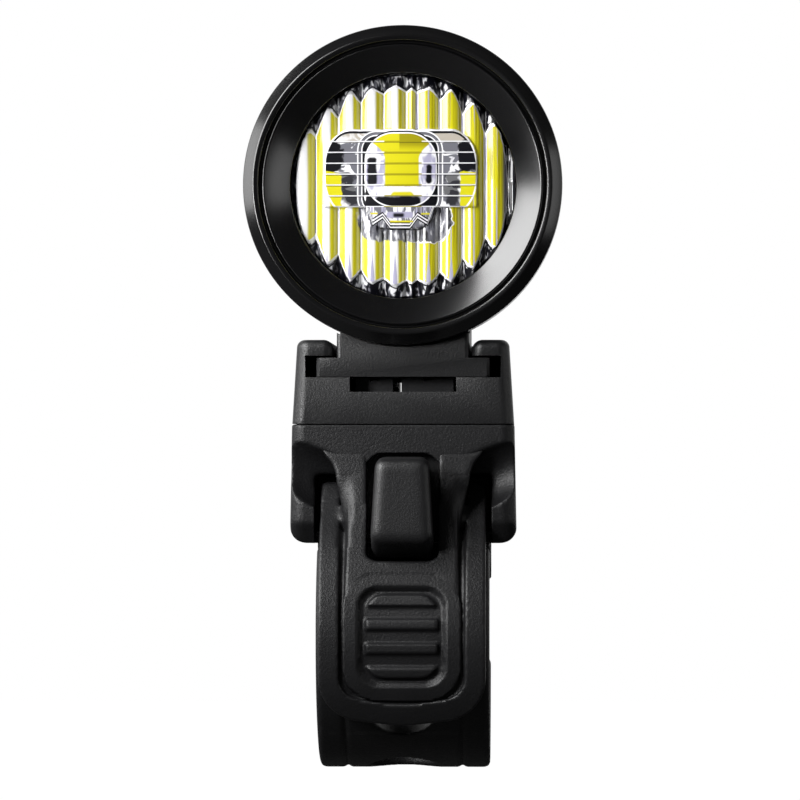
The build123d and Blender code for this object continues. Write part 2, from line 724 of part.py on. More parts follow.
with BuildPart() as latch_leaf:
    for arm_start, arm_end in arm_spans:
        with BuildSketch(Plane.XY.offset(leaf_top_z)):
            with Locations((arm_start, leaf_front_y)):
                Rectangle(arm_end - arm_start, leaf_rear_y - leaf_front_y, align=(Align.MIN, Align.MIN))
        extrude(amount=-arm_thickness)
        with BuildSketch(Plane.XY.offset(leaf_bottom_z)):
            with Locations((arm_start, leaf_front_y)):
                Rectangle(arm_end - arm_start, arm_root_length, align=(Align.MIN, Align.MIN))
            with Locations((arm_start, leaf_rear_y)):
                Rectangle(arm_end - arm_start, arm_end_length, align=(Align.MIN, Align.MAX))
        extrude(amount=leaf_top_z - leaf_bottom_z)
        with BuildSketch(facing_front(leaf_rear_y)):
            with Locations(((arm_start + arm_end) / 2, leaf_top_z)):
                Rectangle(leaf_notch_width, 2 * leaf_notch_depth)
        extrude(amount=leaf_rear_y - leaf_front_y, mode=Mode.SUBTRACT)
    with BuildSketch(Plane.YZ):
        with BuildLine():
            Polyline(
                (tooth_y - tooth_length / 2, leaf_top_z - arm_thickness / 2),
                (tooth_y - tooth_length / 2, leaf_top_z + tooth_rise / 2),
                (tooth_y + tooth_length / 2 - tooth_rise, leaf_top_z + tooth_rise),
                (tooth_y + tooth_length / 2, leaf_top_z + tooth_rise),
                (tooth_y + tooth_length / 2, leaf_top_z - arm_thickness / 2),
                close=True,
            )
        make_face()
    extrude(amount=tooth_width / 2, both=True)
save(latch_leaf, "latch_leaf")

# Release button: a sleeve on the leaf's tail, pressed down to free the rail
release_travel = 1.0
release_width = 15.6
release_length = 7.2
release_top_z = 37.4
release_clearance = 1.2
release_bottom_z = block_top_z + release_clearance + release_travel
release_rib = 1.0
release_rib_count = 3
release_edge = 1.2
release_front_y = block_rear_y + free_gap
release_rear_y = release_front_y + release_length
with BuildPart() as release_button:
    with BuildSketch(Plane.XY.offset(release_bottom_z)):
        with Locations((0, (release_front_y + release_rear_y) / 2)):
            RectangleRounded(release_width, release_length, release_edge)
    extrude(amount=release_top_z - release_bottom_z)
    fillet(faces().sort_by(Axis.Z)[0].edges(), release_edge / 2)
    with BuildSketch(Plane.XY.offset(release_top_z - release_rib / 2)):
        with Locations((0, (release_front_y + release_rear_y) / 2)):
            with GridLocations(0, 2 * release_rib, 1, release_rib_count):
                Rectangle(release_width - 2 * release_edge, release_rib)
    extrude(amount=release_rib, mode=Mode.SUBTRACT)
    with BuildSketch(facing_front(release_rear_y + overrun)):
        with Locations(((arm_left + arm_right) / 2, leaf_bottom_z - fit_gap)):
            Rectangle(arm_right - arm_left + 2 * fit_gap, leaf_top_z - leaf_bottom_z + 2 * fit_gap,
                      align=(Align.CENTER, Align.MIN))
    extrude(amount=release_length + 2 * overrun, mode=Mode.SUBTRACT)
save(release_button, "release_button")

# Swivel: a screw through the socket's floor, its washer, and the nut held in the core under it
nut_radius = 4.04
nut_thickness = 3.0
nut_seat_depth = 6.6
screw_end_drop = 3.4
swivel_socket_radius = 1.4
nut_top_z = block_top_z - nut_seat_depth
washer_top_z = swivel_seat_z + washer_thickness
screw_end_z = nut_top_z - screw_end_drop

with BuildPart() as swivel_washer:
    with BuildSketch(Plane.XY.offset(swivel_seat_z)):
        with Locations((0, swivel_y)):
            Circle(washer_radius)
            Circle(swivel_bore_radius, mode=Mode.SUBTRACT)
    extrude(amount=washer_thickness)
save(swivel_washer, "swivel_washer")

with BuildPart() as swivel_screw:
    with BuildSketch(Plane.XY.offset(washer_top_z)):
        with Locations((0, swivel_y)):
            Circle(swivel_head_radius)
    extrude(amount=swivel_head_height - washer_thickness)
    with BuildSketch(Plane.XY.offset(screw_end_z)):
        with Locations((0, swivel_y)):
            Circle(swivel_radius)
    extrude(amount=washer_top_z - screw_end_z)
    with BuildSketch(Plane.XY.offset(washer_top_z + swivel_head_height - washer_thickness)):
        with Locations((0, swivel_y)):
            RegularPolygon(swivel_socket_radius, hexagon_side_count)
    extrude(amount=-swivel_head_height / 2, mode=Mode.SUBTRACT)
save(swivel_screw, "swivel_screw")

with BuildPart() as swivel_nut:
    with BuildSketch(Plane.XY.offset(nut_top_z)):
        with Locations((0, swivel_y)):
            RegularPolygon(nut_radius, hexagon_side_count)
            Circle(swivel_radius + seat_gap, mode=Mode.SUBTRACT)
    extrude(amount=-nut_thickness)
save(swivel_nut, "swivel_nut")

# Radii about the handlebar, from the bar outwards, and the anchor pin at the rear
pad_thickness = 1.7
bar_relief = 0.7
strap_outer_radius = bar_radius + strap_thickness
tab_inner_radius = strap_outer_radius + part_gap + swivel_gap
rail_radius = tab_inner_radius + tab_thickness + part_gap
panel_radius = tab_inner_radius + tab_thickness
pad_radius = bar_radius + pad_thickness
pin_y = 18.2
pin_z = 10.5
pin_radius = 1.5
knuckle_radius = 3.4
ear_inner = 8.4
ear_outer = 12.0
strap_end_angle = 42.0

# Base core: the stiff block inside the saddle, with the hook post in front and the strap's ears behind
core_nose_width = 15.2
core_nose_depth = 5.0
core_front_y = block_front_y + 3.4
core_rear_y = block_rear_y - 2.8
core_bottom_z = 14.0
core_corner = 1.2
ear_front_y = pin_y - knuckle_radius
hook_front_y = -23.5
hook_rear_y = -17.0
hook_top_z = 25.0
hook_bottom_z = 11.3
hook_chin_z = 13.5
hook_brow_z = 24.6
hook_top_width = 7.2
hook_bottom_width = 8.9
hook_round = 1.1
stem_width = 6.0
stem_bottom_z = 14.8
stem_top_z = 23.6

with BuildPart() as hook_head:
    with BuildSketch(facing_front(hook_rear_y)):
        with BuildLine():
            Polyline(
                (-hook_top_width / 2, hook_top_z),
                (hook_top_width / 2, hook_top_z),
                (hook_bottom_width / 2, hook_bottom_z),
                (-hook_bottom_width / 2, hook_bottom_z),
                close=True,
            )
        make_face()
    extrude(amount=hook_rear_y - hook_front_y)
    with BuildSketch(Plane.YZ):
        with BuildLine():
            Polyline(
                (hook_rear_y, hook_top_z),
                (hook_front_y, hook_brow_z),
                (hook_front_y, hook_chin_z),
                (hook_rear_y, hook_bottom_z),
                close=True,
            )
        make_face()
    extrude(amount=hook_bottom_width, both=True, mode=Mode.INTERSECT)
    rear_face = faces().sort_by(Axis.Y)[-1]
    fillet([edge for edge in edges() if edge not in rear_face.edges()], hook_round)

with BuildPart() as base_core:
    with BuildSketch(Plane.XY.offset(core_bottom_z)):
        with Locations((0, core_front_y + core_nose_depth)):
            Rectangle(2 * ear_outer, core_rear_y - core_front_y - core_nose_depth,
                      align=(Align.CENTER, Align.MIN))
        with Locations((0, core_front_y)):
            Rectangle(core_nose_width, 2 * core_nose_depth, align=(Align.CENTER, Align.MIN))
    extrude(amount=block_top_z - core_bottom_z)
    fillet(edges().filter_by(Axis.Z).group_by(Axis.Y)[-1], core_corner)
    with BuildSketch(Plane.YZ):
        with Locations((pin_y, pin_z)):
            Circle(knuckle_radius)
        with Locations((ear_front_y, pin_z)):
            Rectangle(2 * knuckle_radius, core_bottom_z - pin_z, align=(Align.MIN, Align.MIN))
            Rectangle(core_rear_y - ear_front_y, 2 * knuckle_radius, align=(Align.MIN, Align.MIN))
    extrude(amount=ear_outer, both=True)
    with BuildSketch(Plane.YZ):
        with Locations((pin_y, pin_z)):
            Circle(knuckle_radius + free_gap)
    extrude(amount=ear_inner, both=True, mode=Mode.SUBTRACT)
    with BuildSketch(Plane.YZ):
        Circle(pad_radius + seat_gap)
    extrude(amount=ear_outer, both=True, mode=Mode.SUBTRACT)
    with BuildSketch(Plane.YZ):
        with Locations((pin_y, pin_z)):
            Circle(pin_radius + seat_gap)
    extrude(amount=ear_outer, both=True, mode=Mode.SUBTRACT)
    with BuildSketch(Plane.XY.offset(nut_top_z + seat_gap)):
        with Locations((0, swivel_y)):
            RegularPolygon(nut_radius + fit_gap, hexagon_side_count)
    extrude(amount=-nut_top_z, mode=Mode.SUBTRACT)
    with BuildSketch(Plane.XY.offset(block_top_z)):
        with Locations((0, swivel_y)):
            Circle(swivel_radius + seat_gap)
    extrude(amount=-block_top_z, mode=Mode.SUBTRACT)
    with BuildSketch(facing_front(core_front_y + fit_gap)):
        with Locations((0, stem_bottom_z)):
            Rectangle(stem_width, stem_top_z - stem_bottom_z, align=(Align.CENTER, Align.MIN))
    extrude(amount=core_front_y - hook_rear_y + hook_round)
    add(hook_head.part)
save(base_core, "base_core")

with BuildPart() as anchor_pin:
    with BuildSketch(Plane.YZ):
        with Locations((pin_y, pin_z)):
            Circle(pin_radius)
    extrude(amount=ear_outer, both=True)
    chamfer(edges().filter_by(GeomType.CIRCLE), part_gap)
save(anchor_pin, "anchor_pin")

# Saddle: the rubber moulding round the core, with an arch for the hook, a scoop and a wing on each side
wing_inner = strap_width / 2 + part_gap
wing_corner = 2.2
arch_width = 11.0
arch_top_z = 25.5
arch_corner = 3.2
recess_y = -13.9
recess_angle = 44.0
rail_sweep_radius = 8.4
rail_room_inner = 7.7
scoop_radius = 3.8
scoop_outer = (-17.5, -18.6, 25.0)
scoop_inner = (-9.0, -15.5, 20.6)
rear_bottom_z = 14.5

with BuildPart() as saddle:
    with BuildSketch(Plane.XY.offset(block_top_z)):
        with Locations((0, block_middle_y)):
            RectangleRounded(block_width_top, block_depth, corner_radius)
    with BuildSketch(Plane.XY.offset(block_bottom_z)):
        with Locations((0, block_middle_y)):
            RectangleRounded(block_width_bottom, block_depth, corner_radius)
    loft()
    with BuildSketch(facing_front(block_rear_y)):
        with Locations((0, block_bottom_z)):
            RectangleRounded(block_width_bottom, 2 * (block_top_z - block_bottom_z), wing_corner,
                             align=(Align.CENTER, Align.MIN))
    extrude(amount=block_depth, mode=Mode.INTERSECT)
    with BuildSketch(Plane.YZ):
        Circle(bar_radius + bar_relief)
    extrude(amount=block_width_bottom, both=True, mode=Mode.SUBTRACT)
    with BuildSketch(Plane.YZ):
        with BuildLine():
            Polyline(
                (block_front_y - overrun, crease_z),
                (recess_y, crease_z),
                (recess_y, tab_inner_radius * sin(radians(recess_angle))),
                (-tab_inner_radius * cos(radians(recess_angle)), tab_inner_radius * sin(radians(recess_angle))),
                (0, 0),
                (0, -bar_radius),
                (block_front_y - overrun, -bar_radius),
                close=True,
            )
        make_face()
    extrude(amount=wing_inner, both=True, mode=Mode.SUBTRACT)
    with BuildSketch(Plane.YZ):
        Rectangle(block_rear_y + overrun, rear_bottom_z, align=(Align.MIN, Align.MIN))
        Circle(pad_radius + seat_gap)
        with Locations((pin_y, pin_z)):
            Circle(knuckle_radius + free_gap)
    extrude(amount=wing_inner, both=True, mode=Mode.SUBTRACT)
    for side in (-1, 1):
        with BuildSketch(Plane.YZ.offset(side * rail_room_inner)):
            with Locations((crease_y, crease_z)):
                Circle(rail_sweep_radius)
            with Locations((crease_y, crease_z)):
                Rectangle(2 * rail_sweep_radius, rail_sweep_radius, align=(Align.CENTER, Align.MIN),
                          mode=Mode.SUBTRACT)
        extrude(amount=side * (wing_inner - rail_room_inner), mode=Mode.SUBTRACT)
    with BuildSketch(facing_front(core_front_y)):
        with Locations((0, arch_top_z)):
            RectangleRounded(arch_width, 2 * (arch_top_z - crease_z) + 2 * arch_corner, arch_corner,
                             align=(Align.CENTER, Align.MAX))
    extrude(amount=block_depth, mode=Mode.SUBTRACT)
    for side in (-1, 1):
        scoop_from = Vector(side * scoop_outer[0], scoop_outer[1], scoop_outer[2])
        scoop_to = Vector(side * scoop_inner[0], scoop_inner[1], scoop_inner[2])
        with BuildSketch(Plane(origin=scoop_from, z_dir=scoop_to - scoop_from)):
            Circle(scoop_radius)
        extrude(amount=(scoop_to - scoop_from).length, mode=Mode.SUBTRACT)
        with Locations(scoop_to):
            Sphere(scoop_radius, mode=Mode.SUBTRACT)
    with BuildSketch(Plane.XY.offset(block_top_z)):
        with Locations((0, core_front_y + core_nose_depth)):
            Rectangle(2 * ear_outer + 2 * seat_gap, core_rear_y - core_front_y - core_nose_depth + seat_gap,
                      align=(Align.CENTER, Align.MIN))
        with Locations((0, core_front_y)):
            Rectangle(core_nose_width + 2 * seat_gap, 2 * core_nose_depth, align=(Align.CENTER, Align.MIN))
    extrude(amount=-block_top_z, mode=Mode.SUBTRACT)
save(saddle, "saddle")

# Bar pad: an arched rubber liner under the core, grooved along the bar
pad_half_angle = 44.0
pad_groove_width = 0.8
pad_groove_depth = 0.5
pad_groove_count = 7
pad_groove_angle = 10.0
with BuildPart() as bar_pad:
    with BuildSketch(Plane.YZ):
        with BuildLine():
            CenterArc((0, 0), bar_radius, 90 - pad_half_angle, 2 * pad_half_angle)
            CenterArc((0, 0), pad_radius, 90 - pad_half_angle, 2 * pad_half_angle)
            Line(
                (bar_radius * sin(radians(pad_half_angle)), bar_radius * cos(radians(pad_half_angle))),
                (pad_radius * sin(radians(pad_half_angle)), pad_radius * cos(radians(pad_half_angle))),
            )
            Line(
                (-bar_radius * sin(radians(pad_half_angle)), bar_radius * cos(radians(pad_half_angle))),
                (-pad_radius * sin(radians(pad_half_angle)), pad_radius * cos(radians(pad_half_angle))),
            )
        make_face()
        first_groove = 90 - pad_groove_angle * (pad_groove_count - 1) / 2
        with PolarLocations(bar_radius, pad_groove_count, first_groove, pad_groove_angle * pad_groove_count):
            Rectangle(2 * pad_groove_depth, pad_groove_width, mode=Mode.SUBTRACT)
    extrude(amount=strap_width / 2, both=True)
save(bar_pad, "bar_pad")

# Strap: a rubber band round the bar from its free end in front to its knuckle on the anchor pin
strap_rear_angle = 212.0
strap_edge = 0.8
groove_x = 8.05
v_groove_width = 0.9
v_groove_depth = 0.5
ladder_hole_radius = 4.8
ladder_hole_edge = 0.5
ladder_hole_slope = 45
ladder_pitch = 49.0
ladder_first = -18.0
ladder_count = 4
waist_start_z = -5.0
waist_end_z = 3.0
knuckle_width = 2 * (ear_inner - part_gap)
strap_sweep = strap_end_angle + strap_rear_angle


def strap_point(radius, angle):
    """A point of the side view, at an angle that runs from the front of the bar down and round to the rear."""
    return (-radius * cos(radians(angle)), -radius * sin(radians(angle)))


with BuildPart() as strap:
    with BuildSketch(Plane.YZ):
        with BuildLine():
            CenterArc((0, 0), bar_radius, 180 - strap_end_angle, strap_sweep)
            CenterArc((0, 0), strap_outer_radius, 180 - strap_end_angle, strap_sweep)
            Line(strap_point(bar_radius, -strap_end_angle), strap_point(strap_outer_radius, -strap_end_angle))
            Line(strap_point(bar_radius, strap_rear_angle), strap_point(strap_outer_radius, strap_rear_angle))
        make_face()
    extrude(amount=strap_width / 2, both=True)
    fillet(
        edges().filter_by(GeomType.CIRCLE).filter_by(lambda edge: edge.radius > strap_outer_radius - fit_gap),
        strap_edge,
    )
    for side in (-1, 1):
        with BuildSketch(Plane.XY):
            with BuildLine():
                Polyline(
                    (side * groove_x - v_groove_width / 2, strap_outer_radius + overrun),
                    (side * groove_x - v_groove_width / 2, strap_outer_radius),
                    (side * groove_x, strap_outer_radius - v_groove_depth),
                    (side * groove_x + v_groove_width / 2, strap_outer_radius),
                    (side * groove_x + v_groove_width / 2, strap_outer_radius + overrun),
                    close=True,
                )
            make_face()
        revolve(axis=Axis.X, mode=Mode.SUBTRACT)
    for step in range(ladder_count):
        hole_y, hole_z = strap_point(1, ladder_first + step * ladder_pitch)
        hole_direction = Vector(0, hole_y, hole_z)
        with BuildSketch(Plane(origin=hole_direction * strap_outer_radius, z_dir=hole_direction)):
            Circle(ladder_hole_radius)
        extrude(amount=-2 * strap_thickness, mode=Mode.SUBTRACT)
        with BuildSketch(Plane(origin=hole_direction * (strap_outer_radius + overrun), z_dir=hole_direction)):
            Circle(ladder_hole_radius + ladder_hole_edge + overrun)
        extrude(amount=-ladder_hole_edge - overrun, taper=ladder_hole_slope, mode=Mode.SUBTRACT)
    with BuildSketch(Plane.YZ):
        with Locations((pin_y, pin_z)):
            Circle(knuckle_radius)
    extrude(amount=knuckle_width / 2, both=True)
    with BuildSketch(Plane.YZ):
        Circle(bar_radius)
        with Locations((pin_y, pin_z)):
            Circle(pin_radius + running_gap)
    extrude(amount=strap_width, both=True, mode=Mode.SUBTRACT)
    with BuildSketch(facing_front(0)):
        for side in (-1, 1):
            with BuildLine():
                Polyline(
                    (side * knuckle_width / 2, strap_width),
                    (side * knuckle_width / 2, waist_end_z),
                    (side * strap_width / 2, waist_start_z),
                    (side * strap_width, waist_start_z),
                    (side * strap_width, strap_width),
                    close=True,
                )
            make_face()
    extrude(amount=-2 * strap_width, mode=Mode.SUBTRACT)
save(strap, "strap")

# Pull tab: a rubber flap over the strap's free end, framed by rails, with a ribbed thumb pad and a stud
tab_top_z = crease_z - 2 * swivel_gap
tab_shoulder_z = -10.6
tab_corner = 6.0
tab_belly = 20.0
tab_rim = 2.8
tab_groove_width = 0.9
tab_groove_depth = 0.8
panel_half_width = 7.6
panel_top_half_width = 9.3
panel_flare_z = 14.0
rail_inner = 8.5
rail_root_angle = strap_end_angle - 1
rail_round = 0.9
rail_thickness = 2.2
tab_lower_angle = 45.0
tab_inner_y = recess_y - part_gap - swivel_gap
tab_hole_width = 10.8
tab_hole_bottom_z = 10.6
tab_hole_corner = 2.2
pad_width = 11.5
pad_height = 12.8
pad_centre_z = 0.4
pad_corner = 2.5
pad_depth = 0.8
dish_margin = 1.6
dish_depth = 0.4
rib_count = 4
rib_pitch = 3.3
rib_height = 1.4
rib_width = 9.8
rib_proud = 0.55
stud_angle = ladder_first + ladder_pitch
stud_radius = 5.7
stud_rise = 2.2
crease_distance = sqrt(crease_y**2 + tab_top_z**2)
crease_angle = degrees(atan2(tab_top_z, -crease_y))
tangent_angle = crease_angle - 90 + degrees(asin(panel_radius / crease_distance))
front_plane_y = hook_front_y - overrun
across_bar = (0, 90, 0)
rail_up = cos(radians(rail_root_angle))
rail_back = sin(radians(rail_root_angle))
rail_tip_z = tab_top_z - 2 * swivel_gap
rail_rise = (rail_tip_z - rail_radius * rail_back) / rail_up
rail_tip_y = rail_rise * rail_back - rail_radius * rail_up
tab_reach = -front_plane_y


def tab_outline(inset):
    """The edges of the tab's outline in front view, drawn in by inset."""
    half_width = tab_width / 2 - inset
    with BuildLine() as outline:
        FilletPolyline(
            (-half_width, tab_top_z),
            (-half_width, tab_shoulder_z + inset),
            (0, tab_bottom_z + inset),
            (half_width, tab_shoulder_z + inset),
            (half_width, tab_top_z),
            radius=[tab_corner - inset, tab_belly, tab_corner - inset],
        )
        Line((-half_width, tab_top_z), (half_width, tab_top_z))
    return outline.edges()


with BuildPart() as groove_cutter:
    with BuildSketch(facing_front(front_plane_y)):
        make_face(tab_outline(tab_rim))
        make_face(tab_outline(tab_rim + tab_groove_width), mode=Mode.SUBTRACT)
    extrude(amount=-tab_reach)
    Cylinder(rail_radius - tab_groove_depth, 2 * strap_width, rotation=across_bar, mode=Mode.SUBTRACT)

with BuildPart() as panel_cutter:
    with BuildSketch(facing_front(front_plane_y)):
        make_face(tab_outline(tab_rim))
    extrude(amount=-tab_reach)
    Cylinder(panel_radius, 2 * strap_width, rotation=across_bar, mode=Mode.SUBTRACT)

with BuildPart() as pad_cutter:
    with BuildSketch(facing_front(front_plane_y)):
        with Locations((0, pad_centre_z)):
            RectangleRounded(pad_width + 2 * dish_margin, pad_height + 2 * dish_margin, pad_corner + dish_margin)
    extrude(amount=-tab_reach)
    Cylinder(panel_radius - dish_depth, 2 * strap_width, rotation=across_bar, mode=Mode.SUBTRACT)
    with BuildSketch(facing_front(front_plane_y)):
        with Locations((0, pad_centre_z)):
            RectangleRounded(pad_width, pad_height, pad_corner)
    extrude(amount=-tab_reach)
    Cylinder(panel_radius - pad_depth, 2 * strap_width, rotation=across_bar, mode=Mode.SUBTRACT)

with BuildPart() as pad_ribs:
    with BuildSketch(facing_front(front_plane_y)):
        with Locations((0, pad_centre_z)):
            RectangleRounded(rib_width, pad_height - rib_height, pad_corner)
            with GridLocations(0, rib_pitch, 1, rib_count - 1):
                Rectangle(pad_width, rib_pitch - rib_height, mode=Mode.SUBTRACT)
    extrude(amount=-tab_reach)
    with BuildSketch(Plane.YZ):
        Circle(panel_radius - pad_depth + rib_proud)
        Circle(panel_radius - tab_thickness / 2, mode=Mode.SUBTRACT)
    extrude(amount=strap_width, both=True, mode=Mode.INTERSECT)

with BuildPart() as stud:
    stud_y, stud_z = strap_point(1, stud_angle)
    stud_direction = Vector(0, stud_y, stud_z)
    with Locations(stud_direction * (tab_inner_radius - stud_rise + stud_radius)):
        Sphere(stud_radius)
    with BuildSketch(Plane.YZ):
        Circle(tab_inner_radius + tab_thickness / 2)
    extrude(amount=stud_radius, both=True, mode=Mode.INTERSECT)
    split(bisect_by=Plane.XY.offset(tab_bottom_z + tab_rim / 2), keep=Keep.TOP)

with BuildPart() as pull_tab:
    with BuildSketch(Plane.YZ):
        with BuildLine():
            CenterArc((0, 0), tab_inner_radius, 180 - strap_end_angle, strap_end_angle + tab_lower_angle)
            CenterArc((0, 0), rail_radius, 180 - strap_end_angle, strap_end_angle + tab_lower_angle)
            Line(strap_point(tab_inner_radius, -strap_end_angle), strap_point(rail_radius, -strap_end_angle))
            Line(strap_point(tab_inner_radius, tab_lower_angle), strap_point(rail_radius, tab_lower_angle))
        make_face()
    extrude(amount=tab_width / 2, both=True)
    with BuildSketch(facing_front(front_plane_y)):
        make_face(tab_outline(0))
    extrude(amount=-tab_reach, mode=Mode.INTERSECT)
    add(panel_cutter.part, mode=Mode.SUBTRACT)
    for side in (-1, 1):
        with BuildSketch(Plane.YZ.offset(side * rail_inner)):
            with BuildLine():
                Polyline(
                    strap_point(rail_radius, -rail_root_angle),
                    (rail_tip_y - rail_round * rail_back, rail_tip_z - rail_round * rail_up),
                    (rail_tip_y + rail_round * rail_up, rail_tip_z - rail_round * rail_back),
                    (rail_tip_y + rail_thickness * rail_up, rail_tip_z - rail_thickness * rail_back),
                    strap_point(rail_radius - rail_thickness, -rail_root_angle),
                    close=True,
                )
            make_face()
        extrude(amount=side * (tab_width / 2 - rail_inner))
    with BuildSketch(Plane.YZ):
        with BuildLine():
            Polyline(
                (crease_y, tab_top_z),
                strap_point(panel_radius, -tangent_angle),
                strap_point(tab_inner_radius + tab_thickness / 2, -tangent_angle),
                strap_point(tab_inner_radius, -strap_end_angle + overrun),
                (tab_inner_y, tab_inner_radius * sin(radians(strap_end_angle))),
                (tab_inner_y, tab_top_z),
                close=True,
            )
        make_face()
    extrude(amount=panel_half_width, both=True)
    add(groove_cutter.part, mode=Mode.SUBTRACT)
    with BuildSketch(facing_front(tab_inner_y)):
        with BuildLine():
            Polyline(
                (-panel_half_width, panel_flare_z),
                (-panel_top_half_width, tab_top_z),
                (panel_top_half_width, tab_top_z),
                (panel_half_width, panel_flare_z),
                close=True,
            )
        make_face()
    extrude(amount=tab_inner_y - crease_y)
    add(pad_cutter.part, mode=Mode.SUBTRACT)
    add(pad_ribs.part)
    with BuildSketch(facing_front(front_plane_y)):
        with Locations((0, tab_hole_bottom_z)):
            RectangleRounded(tab_hole_width, 2 * (tab_top_z - tab_hole_bottom_z), tab_hole_corner,
                             align=(Align.CENTER, Align.MIN))
    extrude(amount=-tab_reach, mode=Mode.SUBTRACT)
    add(stud.part)
save(pull_tab, "pull_tab")
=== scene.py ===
# %% [markdown]
# # A bike headlight on a rubber handlebar mount
#
# The lamp is a turned aluminium tube with a dished black bezel and a fluted clear optic. It slides into a moulded
# nylon socket, which swivels on a rubber saddle. A rubber strap runs round the handlebar and is held by a pull tab.
#
# The CAD model is the frame. It carries the joints and the collision shapes. This script dresses it: each visible
# piece gets soft moulded or crisp turned edges and a surface of its own, and then rides on its CAD body.

from math import cos, pi, radians, sin, sqrt

import bmesh
import bpy
from mathutils import Matrix, Vector


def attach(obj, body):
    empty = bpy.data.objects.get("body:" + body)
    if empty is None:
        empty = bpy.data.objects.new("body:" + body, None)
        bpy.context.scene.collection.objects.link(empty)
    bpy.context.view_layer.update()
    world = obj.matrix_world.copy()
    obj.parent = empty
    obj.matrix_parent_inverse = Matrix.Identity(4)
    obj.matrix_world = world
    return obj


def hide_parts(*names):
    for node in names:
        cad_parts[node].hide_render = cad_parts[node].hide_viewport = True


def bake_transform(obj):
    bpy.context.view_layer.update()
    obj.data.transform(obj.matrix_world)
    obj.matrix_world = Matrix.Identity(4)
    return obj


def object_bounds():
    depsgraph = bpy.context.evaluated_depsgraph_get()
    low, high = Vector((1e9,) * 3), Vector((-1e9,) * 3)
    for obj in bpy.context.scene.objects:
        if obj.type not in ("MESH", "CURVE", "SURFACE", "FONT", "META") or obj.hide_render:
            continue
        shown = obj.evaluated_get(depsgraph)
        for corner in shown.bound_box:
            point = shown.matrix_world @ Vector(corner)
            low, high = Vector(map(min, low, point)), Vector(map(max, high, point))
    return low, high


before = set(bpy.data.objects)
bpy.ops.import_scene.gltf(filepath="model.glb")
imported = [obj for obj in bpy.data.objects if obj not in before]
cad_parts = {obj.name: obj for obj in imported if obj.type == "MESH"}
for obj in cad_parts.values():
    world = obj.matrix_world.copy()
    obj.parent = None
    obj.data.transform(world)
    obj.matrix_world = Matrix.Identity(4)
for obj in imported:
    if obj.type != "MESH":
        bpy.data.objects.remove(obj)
cad_low, cad_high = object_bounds()
print("CAD box", [round(v, 4) for v in (*cad_low, *cad_high)])

# %% Shared measures
mm = 0.001
lamp_height = 62.4 * mm
lamp_front = -19.0 * mm
scene = bpy.context.scene
scene.view_settings.view_transform = "Standard"
print("the lamp's front is", round(-lamp_front / mm, 1), "mm ahead of the middle of the handlebar")

# %% [markdown]
# ## The camera, first
#
# The photograph was taken from straight ahead, a little to the right, from about half a metre. A camera without
# perspective would be simpler, but from near by the long tube hides behind its bezel, and the sides of the mount hide
# behind its front. The lens follows from the distance and from the width that the picture spans at the object.

# %% Camera at the photograph's place
sensor_width = 36.0
camera_turn = radians(1.6)
camera_distance = 0.56
camera_level = 25.0 * mm
photo_span = 110.0 * mm
aim = Vector((-0.35 * mm, -17.5 * mm, 32.75 * mm))

camera_data = bpy.data.cameras.new("camera")
camera_data.sensor_width = sensor_width
camera_data.lens = sensor_width * camera_distance / photo_span
camera_data.clip_start = 0.01
camera = bpy.data.objects.new("camera", camera_data)
camera.location = aim + camera_distance * Vector((sin(camera_turn), -cos(camera_turn), 0))
camera.location.z = camera_level
camera.rotation_euler = (aim - camera.location).to_track_quat("-Z", "Y").to_euler()
scene.collection.objects.link(camera)
scene.camera = camera
print("lens", round(camera_data.lens, 1), "mm")

# %% [markdown]
# ## Node trees in a few words
#
# The studio and every surface are trees of nodes. They could be wired by hand, one node and one link at a time, but
# the optic alone needs hundreds. Two small tools keep the trees readable. The first adds a node and fills its
# inputs. The second lets plain sums, such as 1 - 0.3 * edge, build the Math nodes that work them out at each point.


# %% Tools for node trees
def add_node(tree, kind, inputs=None, **settings):
    """Adds a node. An input that is another node's output is linked to it, and any other is set as its value."""
    node = tree.nodes.new(kind)
    for name, value in settings.items():
        setattr(node, name, value)
    for name, value in (inputs or {}).items():
        value = getattr(value, "socket", value)
        if isinstance(value, bpy.types.NodeSocket):
            tree.links.new(value, node.inputs[name])
        else:
            node.inputs[name].default_value = value
    return node


class Amount:
    """A number that differs from point to point. Sums with it build the nodes that work it out."""

    def __init__(self, tree, socket):
        self.tree, self.socket = tree, socket

    def calc(self, operation, *values):
        """The result of one Math node. A comparison gives 1 for true and 0 for false."""
        node = add_node(self.tree, "ShaderNodeMath", dict(enumerate(values)), operation=operation)
        return Amount(self.tree, node.outputs[0])

    def __add__(self, other):
        return self.calc("ADD", self, other)

    def __radd__(self, other):
        return self.calc("ADD", other, self)

    def __sub__(self, other):
        return self.calc("SUBTRACT", self, other)

    def __rsub__(self, other):
        return self.calc("SUBTRACT", other, self)

    def __mul__(self, other):
        return self.calc("MULTIPLY", self, other)

    def __rmul__(self, other):
        return self.calc("MULTIPLY", other, self)

    def __truediv__(self, other):
        return self.calc("DIVIDE", self, other)

    def __mod__(self, other):
        return self.calc("FLOORED_MODULO", self, other)

    def __pow__(self, power):
        return self.calc("POWER", self, power)

    def __abs__(self):
        return self.calc("ABSOLUTE", self)

    def __gt__(self, other):
        return self.calc("GREATER_THAN", self, other)

    def __lt__(self, other):
        return self.calc("LESS_THAN", self, other)


def larger(value, other):
    """The larger of an amount and another amount or number."""
    return value.calc("MAXIMUM", value, other)


def smaller(value, other):
    """The smaller of an amount and another amount or number."""
    return value.calc("MINIMUM", value, other)


def root(value):
    """The square root of an amount."""
    return value.calc("SQRT", value)


